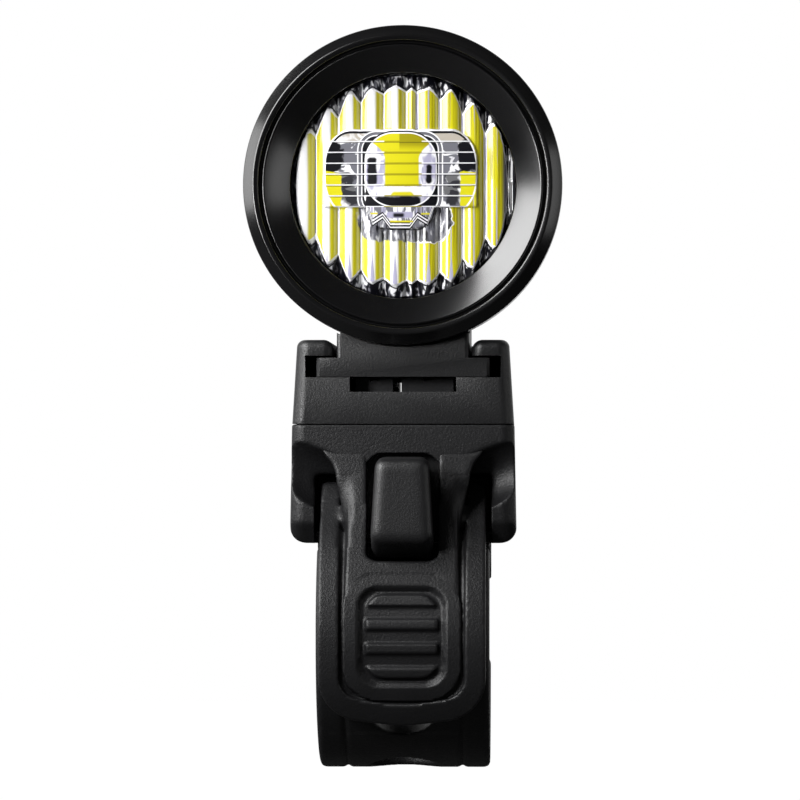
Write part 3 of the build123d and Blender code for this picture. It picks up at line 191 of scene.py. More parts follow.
def smooth_step(value, start, end):
    """0 up to start, 1 from end on, and smooth between them, for an amount or a plain number."""
    if isinstance(value, Amount):
        step = add_node(value.tree, "ShaderNodeMapRange", {"Value": value, "From Min": start, "From Max": end},
                        interpolation_type="SMOOTHSTEP")
        return Amount(value.tree, step.outputs[0])
    share = min(max((value - start) / (end - start), 0), 1)
    return share * share * (3 - 2 * share)


print("tools for node trees are ready")

# %% [markdown]
# ## A pale studio
#
# The photograph has a clean white ground. Strong light on a white sheet could give it, but that light would wash out
# the black plastic. So the world is white only where the camera looks at it, or where a gloss or a clear piece looks
# back past the object, and it is a dim room for all other light.

# %% World
white = (1, 1, 1, 1)
room_level = 0.05
sheet_level = 1.0
# A gloss sees the sheet where its ray points back past the object by at least this much.
sheet_starts, sheet_full = 0.2, 0.75

world = bpy.data.worlds.new("studio")
world.use_nodes = True
world.node_tree.nodes.clear()
ray = add_node(world.node_tree, "ShaderNodeLightPath").outputs
direction = add_node(world.node_tree, "ShaderNodeTexCoord").outputs["Generated"]
forwards = add_node(world.node_tree, "ShaderNodeSeparateXYZ", {0: direction}).outputs["Y"]
behind = add_node(world.node_tree, "ShaderNodeMapRange",
                  {"Value": forwards, "From Min": sheet_starts, "From Max": sheet_full}).outputs[0]
in_gloss = Amount(world.node_tree, ray["Is Glossy Ray"]) * behind
seen = larger(larger(in_gloss, ray["Is Transmission Ray"]), ray["Is Camera Ray"])
room = add_node(world.node_tree, "ShaderNodeBackground", {"Color": white, "Strength": room_level})
sheet = add_node(world.node_tree, "ShaderNodeBackground", {"Color": white, "Strength": sheet_level})
both = add_node(world.node_tree, "ShaderNodeMixShader", {0: seen, 1: room.outputs[0], 2: sheet.outputs[0]})
add_node(world.node_tree, "ShaderNodeOutputWorld", {0: both.outputs[0]})
scene.world = world
print("world of", len(world.node_tree.nodes), "nodes")

# %% [markdown]
# The floor is a plain white sheet. It could stand right under the strap, but the opened strap swings lower, so it
# lies some way down. To the camera it adds a white glow, and its dark matt paint still takes the soft shadow.

# %% Floor
floor_half = 0.9
floor_drop = 45 * mm
floor_paint = (0.05, 0.05, 0.05, 1)

bm = bmesh.new()
floor_place = Matrix.Translation((0, 0, cad_low.z - floor_drop))
bmesh.ops.create_grid(bm, x_segments=1, y_segments=1, size=floor_half, matrix=floor_place)
floor = bpy.data.objects.new("floor", bpy.data.meshes.new("floor"))
bm.to_mesh(floor.data)
bm.free()
scene.collection.objects.link(floor)
sheet_paint = bpy.data.materials.new("white sheet")
sheet_paint.use_nodes = True
sheet_paint.node_tree.nodes.clear()
ray = add_node(sheet_paint.node_tree, "ShaderNodeLightPath").outputs
matt = add_node(sheet_paint.node_tree, "ShaderNodeBsdfDiffuse", {"Color": floor_paint})
glow = add_node(sheet_paint.node_tree, "ShaderNodeEmission", {"Strength": ray["Is Camera Ray"]})
both = add_node(sheet_paint.node_tree, "ShaderNodeAddShader", {0: matt.outputs[0], 1: glow.outputs[0]})
add_node(sheet_paint.node_tree, "ShaderNodeOutputMaterial", {0: both.outputs[0]})
floor.data.materials.append(sheet_paint)
print("floor", round(floor_drop / mm), "mm under the object")

# %% [markdown]
# Black plastic has almost no colour of its own, so what it mirrors draws its whole shape. Small lamps would give hard
# specks. Soft boxes give broad, gentle lights: a strong one high on the left, one beside it that lights the bezel's
# edge, two weak ones on the right for the dished cone, and a small near one for its lower right.

# %% Soft boxes
soft_boxes = [
    ("key box", (-0.20, -0.16, 0.185), (0.22, 0.22), 2.1),
    ("left box", (-0.45, 0.00, 0.14), (0.16, 0.26), 0.65),
    ("right front box", (0.40, -0.20, 0.06), (0.12, 0.20), 0.15),
    ("right box", (0.45, 0.02, 0.05), (0.12, 0.30), 0.15),
    ("near box", (-0.085, -0.120, 0.058), (0.03, 0.03), 0.13),
]
for name, place, size, watts in soft_boxes:
    light = bpy.data.lights.new(name, "AREA")
    light.shape = "RECTANGLE"
    light.size, light.size_y = size
    light.energy = watts
    box = bpy.data.objects.new(name, light)
    box.location = place
    box.visible_camera = False
    box.rotation_euler = (aim - Vector(place)).to_track_quat("-Z", "Y").to_euler()
    scene.collection.objects.link(box)
print(len(soft_boxes), "soft boxes of", round(sum(row[3] for row in soft_boxes), 2), "watts together")

# %% [markdown]
# ## Surfaces
#
# The black pieces differ mostly in gloss and in the size of their grain: satin anodised metal, spark-textured nylon
# and grippy moulded rubber. Pictures of such surfaces could be wrapped round the pieces, but they stretch and repeat.
# Here each surface is a node tree on the piece's own object coordinates, in metres. A wide noise gives slow changes
# of gloss and colour, a fine one gives the relief of the grain, and sharp edges turn a little paler, partly as wear
# and partly as a painted highlight.

# %% One helper for the moulded and the metal surfaces
mottle_scale = 140.0
gloss_change = 0.15
# Pointiness is 0.5 on a flat face and rises towards a sharp edge.
edge_starts, edge_full = 0.52, 0.62


def surface(name, colour, roughness, grain, bump, mottle=0.25, metal=0.0, gloss=0.5, edge_wear_and_highlight=0.0):
    """A principled surface. grain is the size of its fine texture and bump that texture's height, in metres."""
    material = bpy.data.materials.new(name)
    material.use_nodes = True
    tree = material.node_tree
    shader = tree.nodes["Principled BSDF"]
    shader.inputs["Metallic"].default_value = metal
    shader.inputs["Specular IOR Level"].default_value = gloss
    place = add_node(tree, "ShaderNodeTexCoord").outputs["Object"]
    cloud = add_node(tree, "ShaderNodeTexNoise", {"Vector": place, "Scale": mottle_scale, "Detail": 4.0})
    wide = cloud.outputs["Fac"]
    tone = add_node(tree, "ShaderNodeMapRange", {"Value": wide, "To Min": 1 - mottle, "To Max": 1 + mottle})
    tint = add_node(tree, "ShaderNodeVectorMath", {0: colour, "Scale": tone.outputs[0]}, operation="SCALE")
    # Sharp edges are painted paler: partly wear, partly a painted highlight.
    if edge_wear_and_highlight:
        edge = add_node(tree, "ShaderNodeNewGeometry").outputs["Pointiness"]
        lift = add_node(tree, "ShaderNodeMapRange",
                        {"Value": edge, "From Min": edge_starts, "From Max": edge_full, "To Max": edge_wear_and_highlight})
        tint = add_node(tree, "ShaderNodeVectorMath", {0: tint.outputs[0], 1: lift.outputs[0]}, operation="ADD")
    tree.links.new(tint.outputs[0], shader.inputs["Base Color"])
    polish = add_node(tree, "ShaderNodeMapRange", {"Value": wide, "To Min": roughness * (1 - gloss_change),
                                                   "To Max": min(roughness * (1 + gloss_change), 1)})
    tree.links.new(polish.outputs[0], shader.inputs["Roughness"])
    fine = add_node(tree, "ShaderNodeTexNoise",
                    {"Vector": place, "Scale": 1 / grain, "Detail": 3.0, "Roughness": 0.6}).outputs["Fac"]
    relief = add_node(tree, "ShaderNodeBump", {"Height": fine, "Strength": 1.0, "Distance": bump})
    tree.links.new(relief.outputs[0], shader.inputs["Normal"])
    return material


# %% The object's surfaces
rubber = surface("black rubber", (0.006, 0.006, 0.0065), 0.45, 0.30 * mm, 0.06 * mm, 0.2, gloss=0.26, edge_wear_and_highlight=0.004)
nylon = surface("black nylon", (0.006, 0.006, 0.0065), 0.42, 0.26 * mm, 0.045 * mm, 0.2, gloss=0.4, edge_wear_and_highlight=0.004)
anodised = surface("black anodised", (0.012, 0.012, 0.013), 0.3, 0.12 * mm, 0.002 * mm, 0.15, gloss=0.6)
bezel_black = surface("bezel black", (0.002, 0.002, 0.0022), 0.21, 0.1 * mm, 0.001 * mm, 0.1, gloss=0.6)
seal_black = surface("seal rubber", (0.02, 0.02, 0.02), 0.7, 0.3 * mm, 0.01 * mm)
zinc = surface("zinc steel", (0.55, 0.56, 0.58), 0.28, 0.08 * mm, 0.002 * mm, 0.1, metal=1.0)
spring_steel = surface("blackened spring steel", (0.008, 0.008, 0.009), 0.5, 0.1 * mm, 0.002 * mm, 0.2, gloss=0.3)
turned_alloy = surface("turned aluminium", (0.7, 0.7, 0.72), 0.35, 0.1 * mm, 0.002 * mm, 0.1, metal=1.0)
plated = surface("plated contact", (0.75, 0.6, 0.32), 0.25, 0.1 * mm, 0.001 * mm, 0.1, metal=1.0)
white_plastic = surface("white moulded plastic", (0.8, 0.8, 0.79), 0.35, 0.3 * mm, 0.002 * mm, 0.05)
board_green = surface("green circuit board", (0.02, 0.14, 0.07), 0.4, 0.2 * mm, 0.004 * mm, 0.2)
sleeve_blue = surface("cell sleeve", (0.05, 0.13, 0.35), 0.3, 0.3 * mm, 0.002 * mm, 0.1)
phosphor = surface("yellow phosphor", (0.8, 0.72, 0.06), 0.6, 0.05 * mm, 0.002 * mm, 0.1)
frosted = surface("frosted light pipe", (0.6, 0.66, 0.63), 0.35, 0.05 * mm, 0.001 * mm, 0.05)
inner_black = surface("plain black plastic", (0.03, 0.03, 0.03), 0.45, 0.3 * mm, 0.004 * mm, 0.1)
print(len(bpy.data.materials), "materials so far")

# %% [markdown]
# ## The bezel
#
# On the real lamp the bezel is turned on a lathe. A Screw modifier or a bevelled cylinder could make it, but its mesh
# is plainest when it is turned as well: the half section is a chain of points, and a full spin about the lamp's axis
# sweeps it round. Its front has a bevelled edge, a rolled lip that catches the light, a fine dark groove and a dished
# cone that leads to the optic.


# %% Turn the bezel
def piece_from(bm, name, material):
    """A new smooth-shaded object from a bmesh, with its material."""
    mesh = bpy.data.meshes.new(name)
    bm.to_mesh(mesh)
    bm.free()
    obj = bpy.data.objects.new(name, mesh)
    scene.collection.objects.link(obj)
    obj.data.materials.append(material)
    for face in mesh.polygons:
        face.use_smooth = True
    return obj


def arc_points(centre, radius, start, end, count):
    """Points of a small arc in a turned section, for rolled and rounded edges. Angles are in degrees."""
    turns = [radians(start + (end - start) * step / count) for step in range(count + 1)]
    return [(centre[0] + radius * cos(turn), centre[1] + radius * sin(turn)) for turn in turns]


# Each point is a radius and a distance behind the lamp's front, in millimetres.
turn_steps = 192
bezel_section = [
    (17.1, 5.2), (15.62, 5.2), (15.62, 3.4),
    *arc_points((15.84, 3.3), 0.22, 180, 238, 4),
    *arc_points((19.14, 0.96), 0.3, 238, 300, 4),
    (19.36, 1.3), (19.55, 1.32), (19.86, 1.3),
    *arc_points((20.12, 0.36), 0.3, 180, 250, 5),
    *arc_points((20.45, 0.34), 0.32, 265, 310, 4),
    (20.8, 0.34),
    *arc_points((21.66, 1.3), 0.3, 315, 350, 3),
    (22.0, 1.5), (22.0, 1.62),
    (22.0, 7.4), (21.95, 7.6),
    (19.6, 13.9), (19.4, 14.0), (17.75, 14.0), (17.75, 8.35), (17.1, 8.35), (17.1, 5.2),
]
bm = bmesh.new()
chain = [bm.verts.new((radius * mm, lamp_front + depth * mm, lamp_height)) for radius, depth in bezel_section]
edges = [bm.edges.new(pair) for pair in zip(chain, chain[1:])]
bmesh.ops.spin(bm, geom=[*chain, *edges], cent=(0, 0, lamp_height), axis=(0, 1, 0), angle=2 * pi, steps=turn_steps,
               use_merge=True)
bmesh.ops.remove_doubles(bm, verts=bm.verts, dist=0.001 * mm)
bmesh.ops.recalc_face_normals(bm, faces=bm.faces)
bezel = piece_from(bm, "bezel_ring", bezel_black)
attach(bezel, "lamp")
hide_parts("bezel")
print("bezel", len(bezel.data.polygons), "faces")

# %% [markdown]
# ## The optic
#
# The optic is one clear moulding. Its front is cut into upright flutes whose ends arch where they meet the round rim,
# with a ribbed band and a rounded-square lens in the middle that magnify the yellow LED behind them. Each flute bends
# the light its own way, so the face shows upright strips of LED yellow, white reflector and black gaps. Tracing all
# those refractions would be slow and noisy. Here the flutes, band and lens are real glossy relief, and their strips
# are painted on: painted images of the refracted LED and reflector, painted highlights in white and painted shade in
# black. Relief and paint use the same two functions, so the strips always lie on their flutes. x and z are
# millimetres from the middle of the optic. The valleys between the flutes step by half a flute just right of the
# middle, where the two halves of the moulding meet.

# %% Where the flutes lie
optic_radius = 15.55
flute_pitch = 3.14
first_valley = -12.1
right_half_starts = 1.17
right_half_shift = 1.65
rib_pitch = 1.505


def flute_edge(x):
    """0 on a flute's crown and 1 in its valleys, for a plain number or for an amount."""
    flute = (x - first_valley + (x > right_half_starts) * right_half_shift) / flute_pitch
    return abs(2 * (flute % 1) - 1)


def flute_reach(x, edge):
    """How far from the middle the flutes reach. Each end is an arch, highest on the crown and notched in the valley.

    The notches are deepest between the middle and the sides, and the arches rise a little towards the sides.
    """
    aside = abs(x)
    notch = 0.8 + 1.3 * smooth_step(aside, 2, 8) - 0.9 * smooth_step(aside, 10, 12.5)
    peak = 13.8 + 1.15 * smooth_step(aside, 2.5, 8) + 0.5 * smooth_step(aside, 11.5, 13)
    return peak - notch * edge ** 1.4


print("a flute ends", round(flute_reach(0, 0), 2), "mm from the middle at its crown")

# %% [markdown]
# ### Tools for painting
#
# A brush needs shapes. Each one is a distance: how far a point lies outside a rounded box, or from a line. From the
# distance, a mask is made that is 1 inside the shape or on its outline. Masks then lay one colour over another. A
# noise that wanders slowly is added to some distances, so that their outlines wobble as seen through ripples.


# %% Shapes and masks
def outside_box(x, z, middle_x, middle_z, half_width, half_height, corner):
    """How far a point lies outside a rounded box. Within it, the distance is negative."""
    across = abs(x - middle_x) + (corner - half_width)
    along = abs(z - middle_z) + (corner - half_height)
    out_x, out_z = larger(across, 0.0), larger(along, 0.0)
    return root(out_x * out_x + out_z * out_z) + smaller(larger(across, along), 0.0) - corner


def inside(distance, soft):
    """1 inside a shape and 0 outside it, with a soft edge."""
    return 1 - smooth_step(distance, -soft, soft)


def outline(distance, width, soft=0.05):
    """1 on a shape's outline and 0 away from it."""
    return 1 - smooth_step(abs(distance), width / 2, width / 2 + soft)


def paint(below, above, mask):
    """The colour above where the mask is 1, and the colour below where it is 0."""
    below, above = [(*colour, 1.0) if isinstance(colour, tuple) else colour for colour in (below, above)]
    mix = add_node(mask.tree, "ShaderNodeMix", {"Factor": mask, "A": below, "B": above}, data_type="RGBA",
                   clamp_factor=True)
    return mix.outputs["Result"]


def straight_runs(value, points):
    """A height that follows straight runs through the points (value, height), read from a colour ramp."""
    span = points[-1][0]
    low, high = min(height for at, height in points), max(height for at, height in points)
    ramp = add_node(value.tree, "ShaderNodeValToRGB", {0: value / span})
    stops = ramp.color_ramp.elements
    while len(stops) < len(points):
        stops.new(0.5)
    for stop, (at, height) in zip(stops, points):
        stop.position = at / span
        stop.color = (*[(height - low) / (high - low)] * 3, 1)
    return Amount(value.tree, ramp.outputs["Color"]) * (high - low) + low


print("shapes and masks are ready")


# %% The face that is painted
class OpticFace:
    """What the painting reads at each point of the optic's face, worked out once and used by every layer."""

    def __init__(self, tree):
        place = add_node(tree, "ShaderNodeTexCoord").outputs["Object"]
        in_mm = {"Vector": place, "Scale": [1 / mm] * 3, "Location": (0, 0, -lamp_height / mm)}
        self.tree = tree
        self.spot = add_node(tree, "ShaderNodeMapping", in_mm).outputs[0]
        axes = add_node(tree, "ShaderNodeSeparateXYZ", {0: self.spot}).outputs
        self.x, self.z = Amount(tree, axes["X"]), Amount(tree, axes["Z"])
        self.radius = root(self.x * self.x + self.z * self.z)
        self.edge = flute_edge(self.x)
        self.right = self.x > right_half_starts
        self.to_right = smooth_step(self.x, -14.0, 14.0)
        self.wander = self.noise(0.8) - 0.5
        self.fine = self.noise(1.0, (3.2, 1, 0.07), 3.0)
        self.coarse = self.noise(1.0, (1.1, 1, 0.05), 1.0)
        self.smear = self.noise(1.0, (1.3, 1, 0.35), 3.0, 0.5)
        self.band = outside_box(self.x, self.z * 0.68, -0.33, 1.29, 10.5, 3.95, 3.5)
        self.over_band_floor = self.z > -2.95
        self.in_band = inside(self.band, 0.05) * self.over_band_floor
        self.above_foot = self.z > -3.0

    def noise(self, scale, stretch=(1, 1, 1), detail=2.0, distortion=0.0):
        """A cloudy amount from 0 to 1. A stretch below 1 draws the clouds out along that axis."""
        mapped = add_node(self.tree, "ShaderNodeMapping",
                          {"Vector": self.spot, "Scale": [scale * part for part in stretch]}).outputs[0]
        clouds = add_node(self.tree, "ShaderNodeTexNoise",
                          {"Vector": mapped, "Scale": 1.0, "Detail": detail, "Distortion": distortion})
        return Amount(self.tree, clouds.outputs["Fac"])

    def patch(self, shape, soft, wobble=0.0, x=None):
        """1 inside a rounded box whose outline is that soft and wobbles by that much.

        The shape is the box's middle x and z, its half width and half height, and its corner's radius.
        """
        distance = outside_box(self.x if x is None else x, self.z, *shape)
        if wobble:
            distance = distance + self.wander * wobble
        return inside(distance, soft)


print("the lamp's axis is the painting's origin, at z =", round(lamp_height / mm, 1), "mm")

# %% [markdown]
# ### The flutes and their ends
#
# In each flute a strip of LED yellow lies on both sides of a pale streak, with thin lines in the valleys. The flutes'
# ends could fade out, but the real ones stop on a sharp zigzag with a white edge, and beyond it lie shards of white
# and black, the broken image of the rim.

# %% Paint the flutes
# These colours paint the light that the optic bends: images of the LED and reflector, painted highlights in white,
# and painted shade in black.
led_yellow = (0.50, 0.46, 0.008)
deep_yellow = (0.26, 0.23, 0.004)
bright_white = (0.68, 0.68, 0.70)
lavender = (0.32, 0.31, 0.42)
gap_black = (0.002, 0.002, 0.004)
silver = (0.12, 0.12, 0.14)
beige = (0.36, 0.33, 0.28)


def paint_flutes(face):
    edge, fine, right = face.edge, face.fine, face.right
    left = 1 - right
    colour = paint(led_yellow, deep_yellow, smooth_step(fine, 0.42, 0.70) * (0.35 + face.to_right))
    crown = 1 - smooth_step(edge + face.coarse * -0.30, 0.0, 0.24)
    colour = paint(colour, bright_white, crown * left)
    grey_crown = (1 - smooth_step(edge, 0.02, 0.10)) * smooth_step(fine, 0.45, 0.5)
    colour = paint(colour, lavender, grey_crown * right)
    in_valley = edge > 0.84 + left * 0.08
    colour = paint(colour, lavender, in_valley)
    colour = paint(colour, bright_white, in_valley * smooth_step(fine, 0.46, 0.52))
    colour = paint(colour, gap_black, smooth_step(edge, 0.96, 0.985) * smooth_step(face.coarse, 0.48, 0.52))
    low_spike = 0.20 - smooth_step(face.z, -13.5, -8.5) * 0.20
    colour = paint(colour, lavender, low_spike > edge)
    far_left = 1 - smooth_step(face.x, -14.6, -12.6)
    colour = paint(colour, bright_white, far_left * smooth_step(fine, 0.35, 0.42))
    far_right = smooth_step(face.x, 13.6, 14.1)
    colour = paint(colour, silver, far_right)
    return paint(colour, gap_black, far_right * smooth_step(fine, 0.50, 0.54))


def paint_flute_ends(face, colour):
    beyond = face.radius - flute_reach(face.x, face.edge) + face.wander * 0.4
    shards = face.noise(1.0, (1.6, 1, 0.5), 2.0, 0.5)
    rim = paint(bright_white, silver, smooth_step(shards, 0.40, 0.46))
    rim = paint(rim, gap_black, smooth_step(shards + face.to_right * 0.10, 0.52, 0.56))
    colour = paint(colour, rim, smooth_step(beyond, 0.0, 0.08))
    colour = paint(colour, bright_white, outline(beyond, 0.22, 0.06))
    return paint(colour, gap_black, outline(beyond - 0.36, 0.14))


print("flutes are", flute_pitch, "mm apart")

# %% [markdown]
# ### The ribbed band
#
# A band of lying ribs crosses the flutes. At its sides it shows pale and black blobs of the reflector, with the LED's
# yellow in its lower corners, and its ribs are thin lines: white at the sides and dark across the LED. Under it, a
# dark smear is the foot of the middle lens, seen through the flutes.


# %% Paint the smear and the band
def paint_smear(face, colour):
    patch = outside_box(face.x, face.z, 0.2, -4.4, 6.6, 3.4, 3.0) + face.wander * 1.6
    tones = paint(gap_black, silver, smooth_step(face.smear, 0.38, 0.50))
    tones = paint(tones, bright_white, smooth_step(face.smear, 0.54, 0.66))
    colour = paint(colour, tones, inside(patch, 0.2))
    return paint(colour, bright_white, outline(patch, 0.12) * smooth_step(face.x, 1.0, 2.0))


def paint_band(face, colour):
    side = abs(face.x + 0.33)
    blobs = face.noise(0.36, (1, 1, 1.5), 2.0, 1.4)
    tones = paint(bright_white, silver, smooth_step(blobs, 0.46, 0.50))
    tones = paint(tones, beige, smooth_step(face.z, 5.9, 6.1) * smooth_step(blobs, 0.3, 0.5))
    tones = paint(tones, gap_black, face.patch((9.6, 4.0, 1.5, 2.1, 0.9), 0.15, 2.4, side))
    tones = paint(tones, gap_black, face.patch((7.2, -0.4, 1.1, 2.4, 0.8), 0.3, 2.6, side) * 0.85)
    tones = paint(tones, led_yellow, face.patch((9.7, -1.0, 1.5, 2.9, 0.3), 0.08, 0.9, side))
    colour = paint(colour, tones, face.in_band)
    colour = paint(colour, bright_white, outline(face.band, 0.16) * face.over_band_floor)
    return paint(colour, gap_black, outline(face.band + 0.22, 0.16) * (face.z > 6.2))


def paint_ribs(face, colour):
    over_led = inside(abs(face.x) - 2.6, 0.1)
    rib_tone = paint(bright_white, deep_yellow, over_led)
    for rib in range(7):
        line = outline(face.z - (6.13 - rib_pitch * rib), 0.10)
        colour = paint(colour, rib_tone, line * face.in_band)
        # A thin line of painted shadow lies under each rib's line.
        shadow = outline(face.z - (5.98 - rib_pitch * rib), 0.06, 0.04)
        colour = paint(colour, gap_black, shadow * (face.in_band * 0.7))
    return colour


print("ribs are", rib_pitch, "mm apart")

# %% [markdown]
# ### The middle lens
#
# The rounded-square lens has a double frame and a W-shaped foot of fine contour lines. Inside it is a domed window on
# the LED: a yellow column that flares out at the top, with silver sides, two dark slots, and a pale bar and a shade
# below it.


# %% Paint the frame, its foot and the window
def paint_frame(face, colour):
    frame_edge = outside_box(face.x, face.z, -0.4, 1.6, 5.85, 5.9, 2.6)
    colour = paint(colour, gap_black, inside(frame_edge, 0.05) * face.above_foot)
    for inset, width, tone in ((0.0, 0.14, bright_white), (0.30, 0.2, silver), (0.55, 0.12, bright_white)):
        colour = paint(colour, tone, outline(frame_edge + inset, width) * face.above_foot)
    return colour


def paint_foot(face, colour):
    foot = straight_runs(abs(face.x + 0.4), [(0, -6.0), (1.35, -6.0), (2.4, -4.6), (3.8, -5.5), (4.7, -3.0),
                                             (6.0, 1.0)])
    over_foot = face.z - foot
    below_band = face.z < -2.9
    tones = paint(bright_white, silver, smooth_step(face.smear, 0.44, 0.50))
    tones = paint(tones, lavender, smooth_step(face.fine, 0.55, 0.60))
    colour = paint(colour, tones, (over_foot > 0.0) * below_band)
    contours = ((0.0, gap_black), (0.22, bright_white), (0.44, gap_black), (0.66, bright_white), (0.9, gap_black))
    for height, tone in contours:
        colour = paint(colour, tone, outline(over_foot - height, 0.15) * below_band)
    colour = paint(colour, lavender, face.patch((-0.45, -4.05, 1.8, 0.42, 0.3), 0.1))
    colour = paint(colour, gap_black, face.patch((-0.6, -4.1, 0.75, 0.3, 0.25), 0.2))
    for middle, level, half in ((-0.2, -4.95, 1.6), (-4.0, -3.85, 0.5), (3.1, -3.9, 0.6)):
        colour = paint(colour, led_yellow, face.patch((middle, level, half, 0.12, 0.1), 0.08))
    return colour


def paint_window(face, colour):
    x, z = face.x, face.z
    window = outside_box(x, z, -0.3, 2.2, 4.9, 5.1, 3.9)
    tones = paint(lavender, bright_white, smooth_step(face.noise(0.7, (1, 1, 0.5), 2.0, 0.5), 0.44, 0.56))
    flare = larger(z - 3.6, 0.0) ** 2 * 0.32
    column = inside(abs(x + 0.15) - (2.35 + flare), 0.1) * (z > -0.1)
    led_tone = paint(led_yellow, deep_yellow, smooth_step(z, 4.6, 6.0) * smooth_step(x, -0.6, -0.4))
    tones = paint(tones, led_tone, column)
    for slot in ((-4.25, 2.0, 0.65, 1.9, 0.35), (3.6, 1.6, 0.36, 1.3, 0.35)):
        tones = paint(tones, gap_black, face.patch(slot, 0.15, 0.5))
    bar = face.patch((-0.1, -0.75, 3.4, 0.6, 0.2), 0.08)
    tones = paint(tones, bright_white, bar)
    tones = paint(tones, led_yellow, bar * face.patch((-0.1, -1.5, 1.6, 0.65, 0.6), 0.15))
    tones = paint(tones, gap_black, face.patch((-0.7, -2.2, 3.2, 0.75, 0.7), 0.2, 0.6))
    colour = paint(colour, tones, inside(window, 0.05) * face.above_foot)
    colour = paint(colour, bright_white, outline(window, 0.15) * face.above_foot)
    return paint(colour, gap_black, outline(window - 0.2, 0.14) * face.above_foot)


# %% Put the painting together
optic_paint = bpy.data.materials.new("clear fluted optic")
optic_paint.use_nodes = True
face = OpticFace(optic_paint.node_tree)
# Every layer paints refracted light: painted reflections of the LED and reflector, painted highlights and painted
# shade.
colour = paint_flute_ends(face, paint_flutes(face))
for layer in (paint_smear, paint_band, paint_frame, paint_foot, paint_window, paint_ribs):
    colour = layer(face, colour)
colour = paint(colour, gap_black, smooth_step(face.radius + face.wander * 0.8, 15.2, 15.35))
shader = optic_paint.node_tree.nodes["Principled BSDF"]
optic_paint.node_tree.links.new(colour, shader.inputs["Base Color"])
shader.inputs["Roughness"].default_value = 0.3
shader.inputs["Specular IOR Level"].default_value = 0.3
shader.inputs["Coat Weight"].default_value = 1.0
shader.inputs["Coat Roughness"].default_value = 0.03
print("the painting has", len(optic_paint.node_tree.nodes), "nodes")

# %% [markdown]
# ### The relief
#
# The relief could be sculpted or cut from solids. It is plainer as one fine grid: its corners are cut away to leave a
# disc, and each point is set back behind the lens's front by the height of the flutes, their arched ends, the ribbed
# band and the middle lens, in that order. The rim is then drawn back to give the disc its thickness.

# %% The optic's relief
grid_steps = 230
crown_depth, flute_relief = 4.1, 0.75
end_depth, end_slope = 4.35, 0.42
band_depth, rib_relief = 3.75, 0.10
lens_depth, lens_dome = 3.46, 0.010
rim_thickness = 1.6 * mm


def optic_depth(x, z):
    """How far a point of the optic's front lies behind the lamp's front, in millimetres."""
    radius, edge = sqrt(x * x + z * z), flute_edge(x)
    depth = crown_depth + flute_relief * edge ** 2
    reach = flute_reach(x, edge)
    if radius > reach:
        depth = max(depth, end_depth) + (radius - reach) * end_slope
    across, up = abs(x + 0.33), z - 1.9
    corner = sqrt(max(across - 6.6, 0) ** 2 + max(up - 1.9, 0) ** 2)
    if corner < 3.9 and across < 10.5 and -2.95 < z < 7.7:
        depth = band_depth + rib_relief * ((z + 2.9) / rib_pitch % 1)
    lens_x, lens_z = abs(x + 0.3), abs(z - 0.9)
    if sqrt(max(lens_x - 1.6, 0) ** 2 + max(lens_z - 3.6, 0) ** 2) < 3.3:
        depth = min(depth, lens_depth + lens_dome * (lens_x ** 2 + 0.5 * lens_z ** 2))
    return depth


bm = bmesh.new()
bmesh.ops.create_grid(bm, x_segments=grid_steps, y_segments=grid_steps, size=optic_radius * mm * 1.01)
outside = [face for face in bm.faces if min(v.co.length for v in face.verts) > optic_radius * mm]
bmesh.ops.delete(bm, geom=outside, context="FACES")
for v in bm.verts:
    if v.co.length > optic_radius * mm:
        v.co *= optic_radius * mm / v.co.length
    x, z = v.co.x, v.co.y
    v.co = (x, lamp_front + optic_depth(x / mm, z / mm) * mm, lamp_height + z)
rim = [edge for edge in bm.edges if edge.is_boundary]
wall = bmesh.ops.extrude_edge_only(bm, edges=rim)["geom"]
bmesh.ops.translate(bm, vec=(0, rim_thickness, 0), verts=[v for v in wall if isinstance(v, bmesh.types.BMVert)])
bmesh.ops.recalc_face_normals(bm, faces=bm.faces)
optic = piece_from(bm, "fluted_optic", optic_paint)
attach(optic, "lamp")
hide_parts("optic_lens")
print("optic", len(optic.data.polygons), "faces")

# %% [markdown]
# ## Tools for moulded pieces
#
# A CAD node arrives as loose triangles, so each copy of one is merged first. A moulding could be modelled again from
# nothing, but the CAD already has its true size, and only its edges are too sharp. For rubber, the copy is remeshed
# into small even cells and smoothed, which melts every edge into a fillet, the way rubber leaves a mould.

# %% Copy, melt and soften
melt_strength = 0.6


def merged_copy(node):
    """The CAD node's triangles in a bmesh, with their doubled corners merged."""
    bm = bmesh.new()
    bm.from_mesh(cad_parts[node].data)
    bmesh.ops.remove_doubles(bm, verts=bm.verts, dist=0.002 * mm)
    return bm


def settle(obj):
    """Applies the object's modifiers to its mesh."""
    bpy.context.view_layer.update()
    mesh = bpy.data.meshes.new_from_object(obj.evaluated_get(bpy.context.evaluated_depsgraph_get()))
    obj.modifiers.clear()
    obj.data = mesh


def melt(obj, cell, rounds):
    """Remeshes the object in cells of that size and smooths it, keeping its volume."""
    remesh = obj.modifiers.new("cells", "REMESH")
    remesh.mode = "VOXEL"
    remesh.voxel_size = cell
    remesh.use_smooth_shade = True
    smooth = obj.modifiers.new("soften", "LAPLACIANSMOOTH")
    smooth.iterations = rounds
    smooth.lambda_factor = melt_strength
    smooth.use_volume_preserve = True
    settle(obj)


def soften(obj, where, rounds):
    """Smooths the part of a mesh whose points, in millimetres, the test picks."""
    bm = bmesh.new()
    bm.from_mesh(obj.data)
    chosen = [v for v in bm.verts if where(*(v.co / mm))]
    for step in range(rounds):
        bmesh.ops.smooth_vert(bm, verts=chosen, factor=0.5, use_axis_x=True, use_axis_y=True, use_axis_z=True)
    bm.to_mesh(obj.data)
    bm.free()


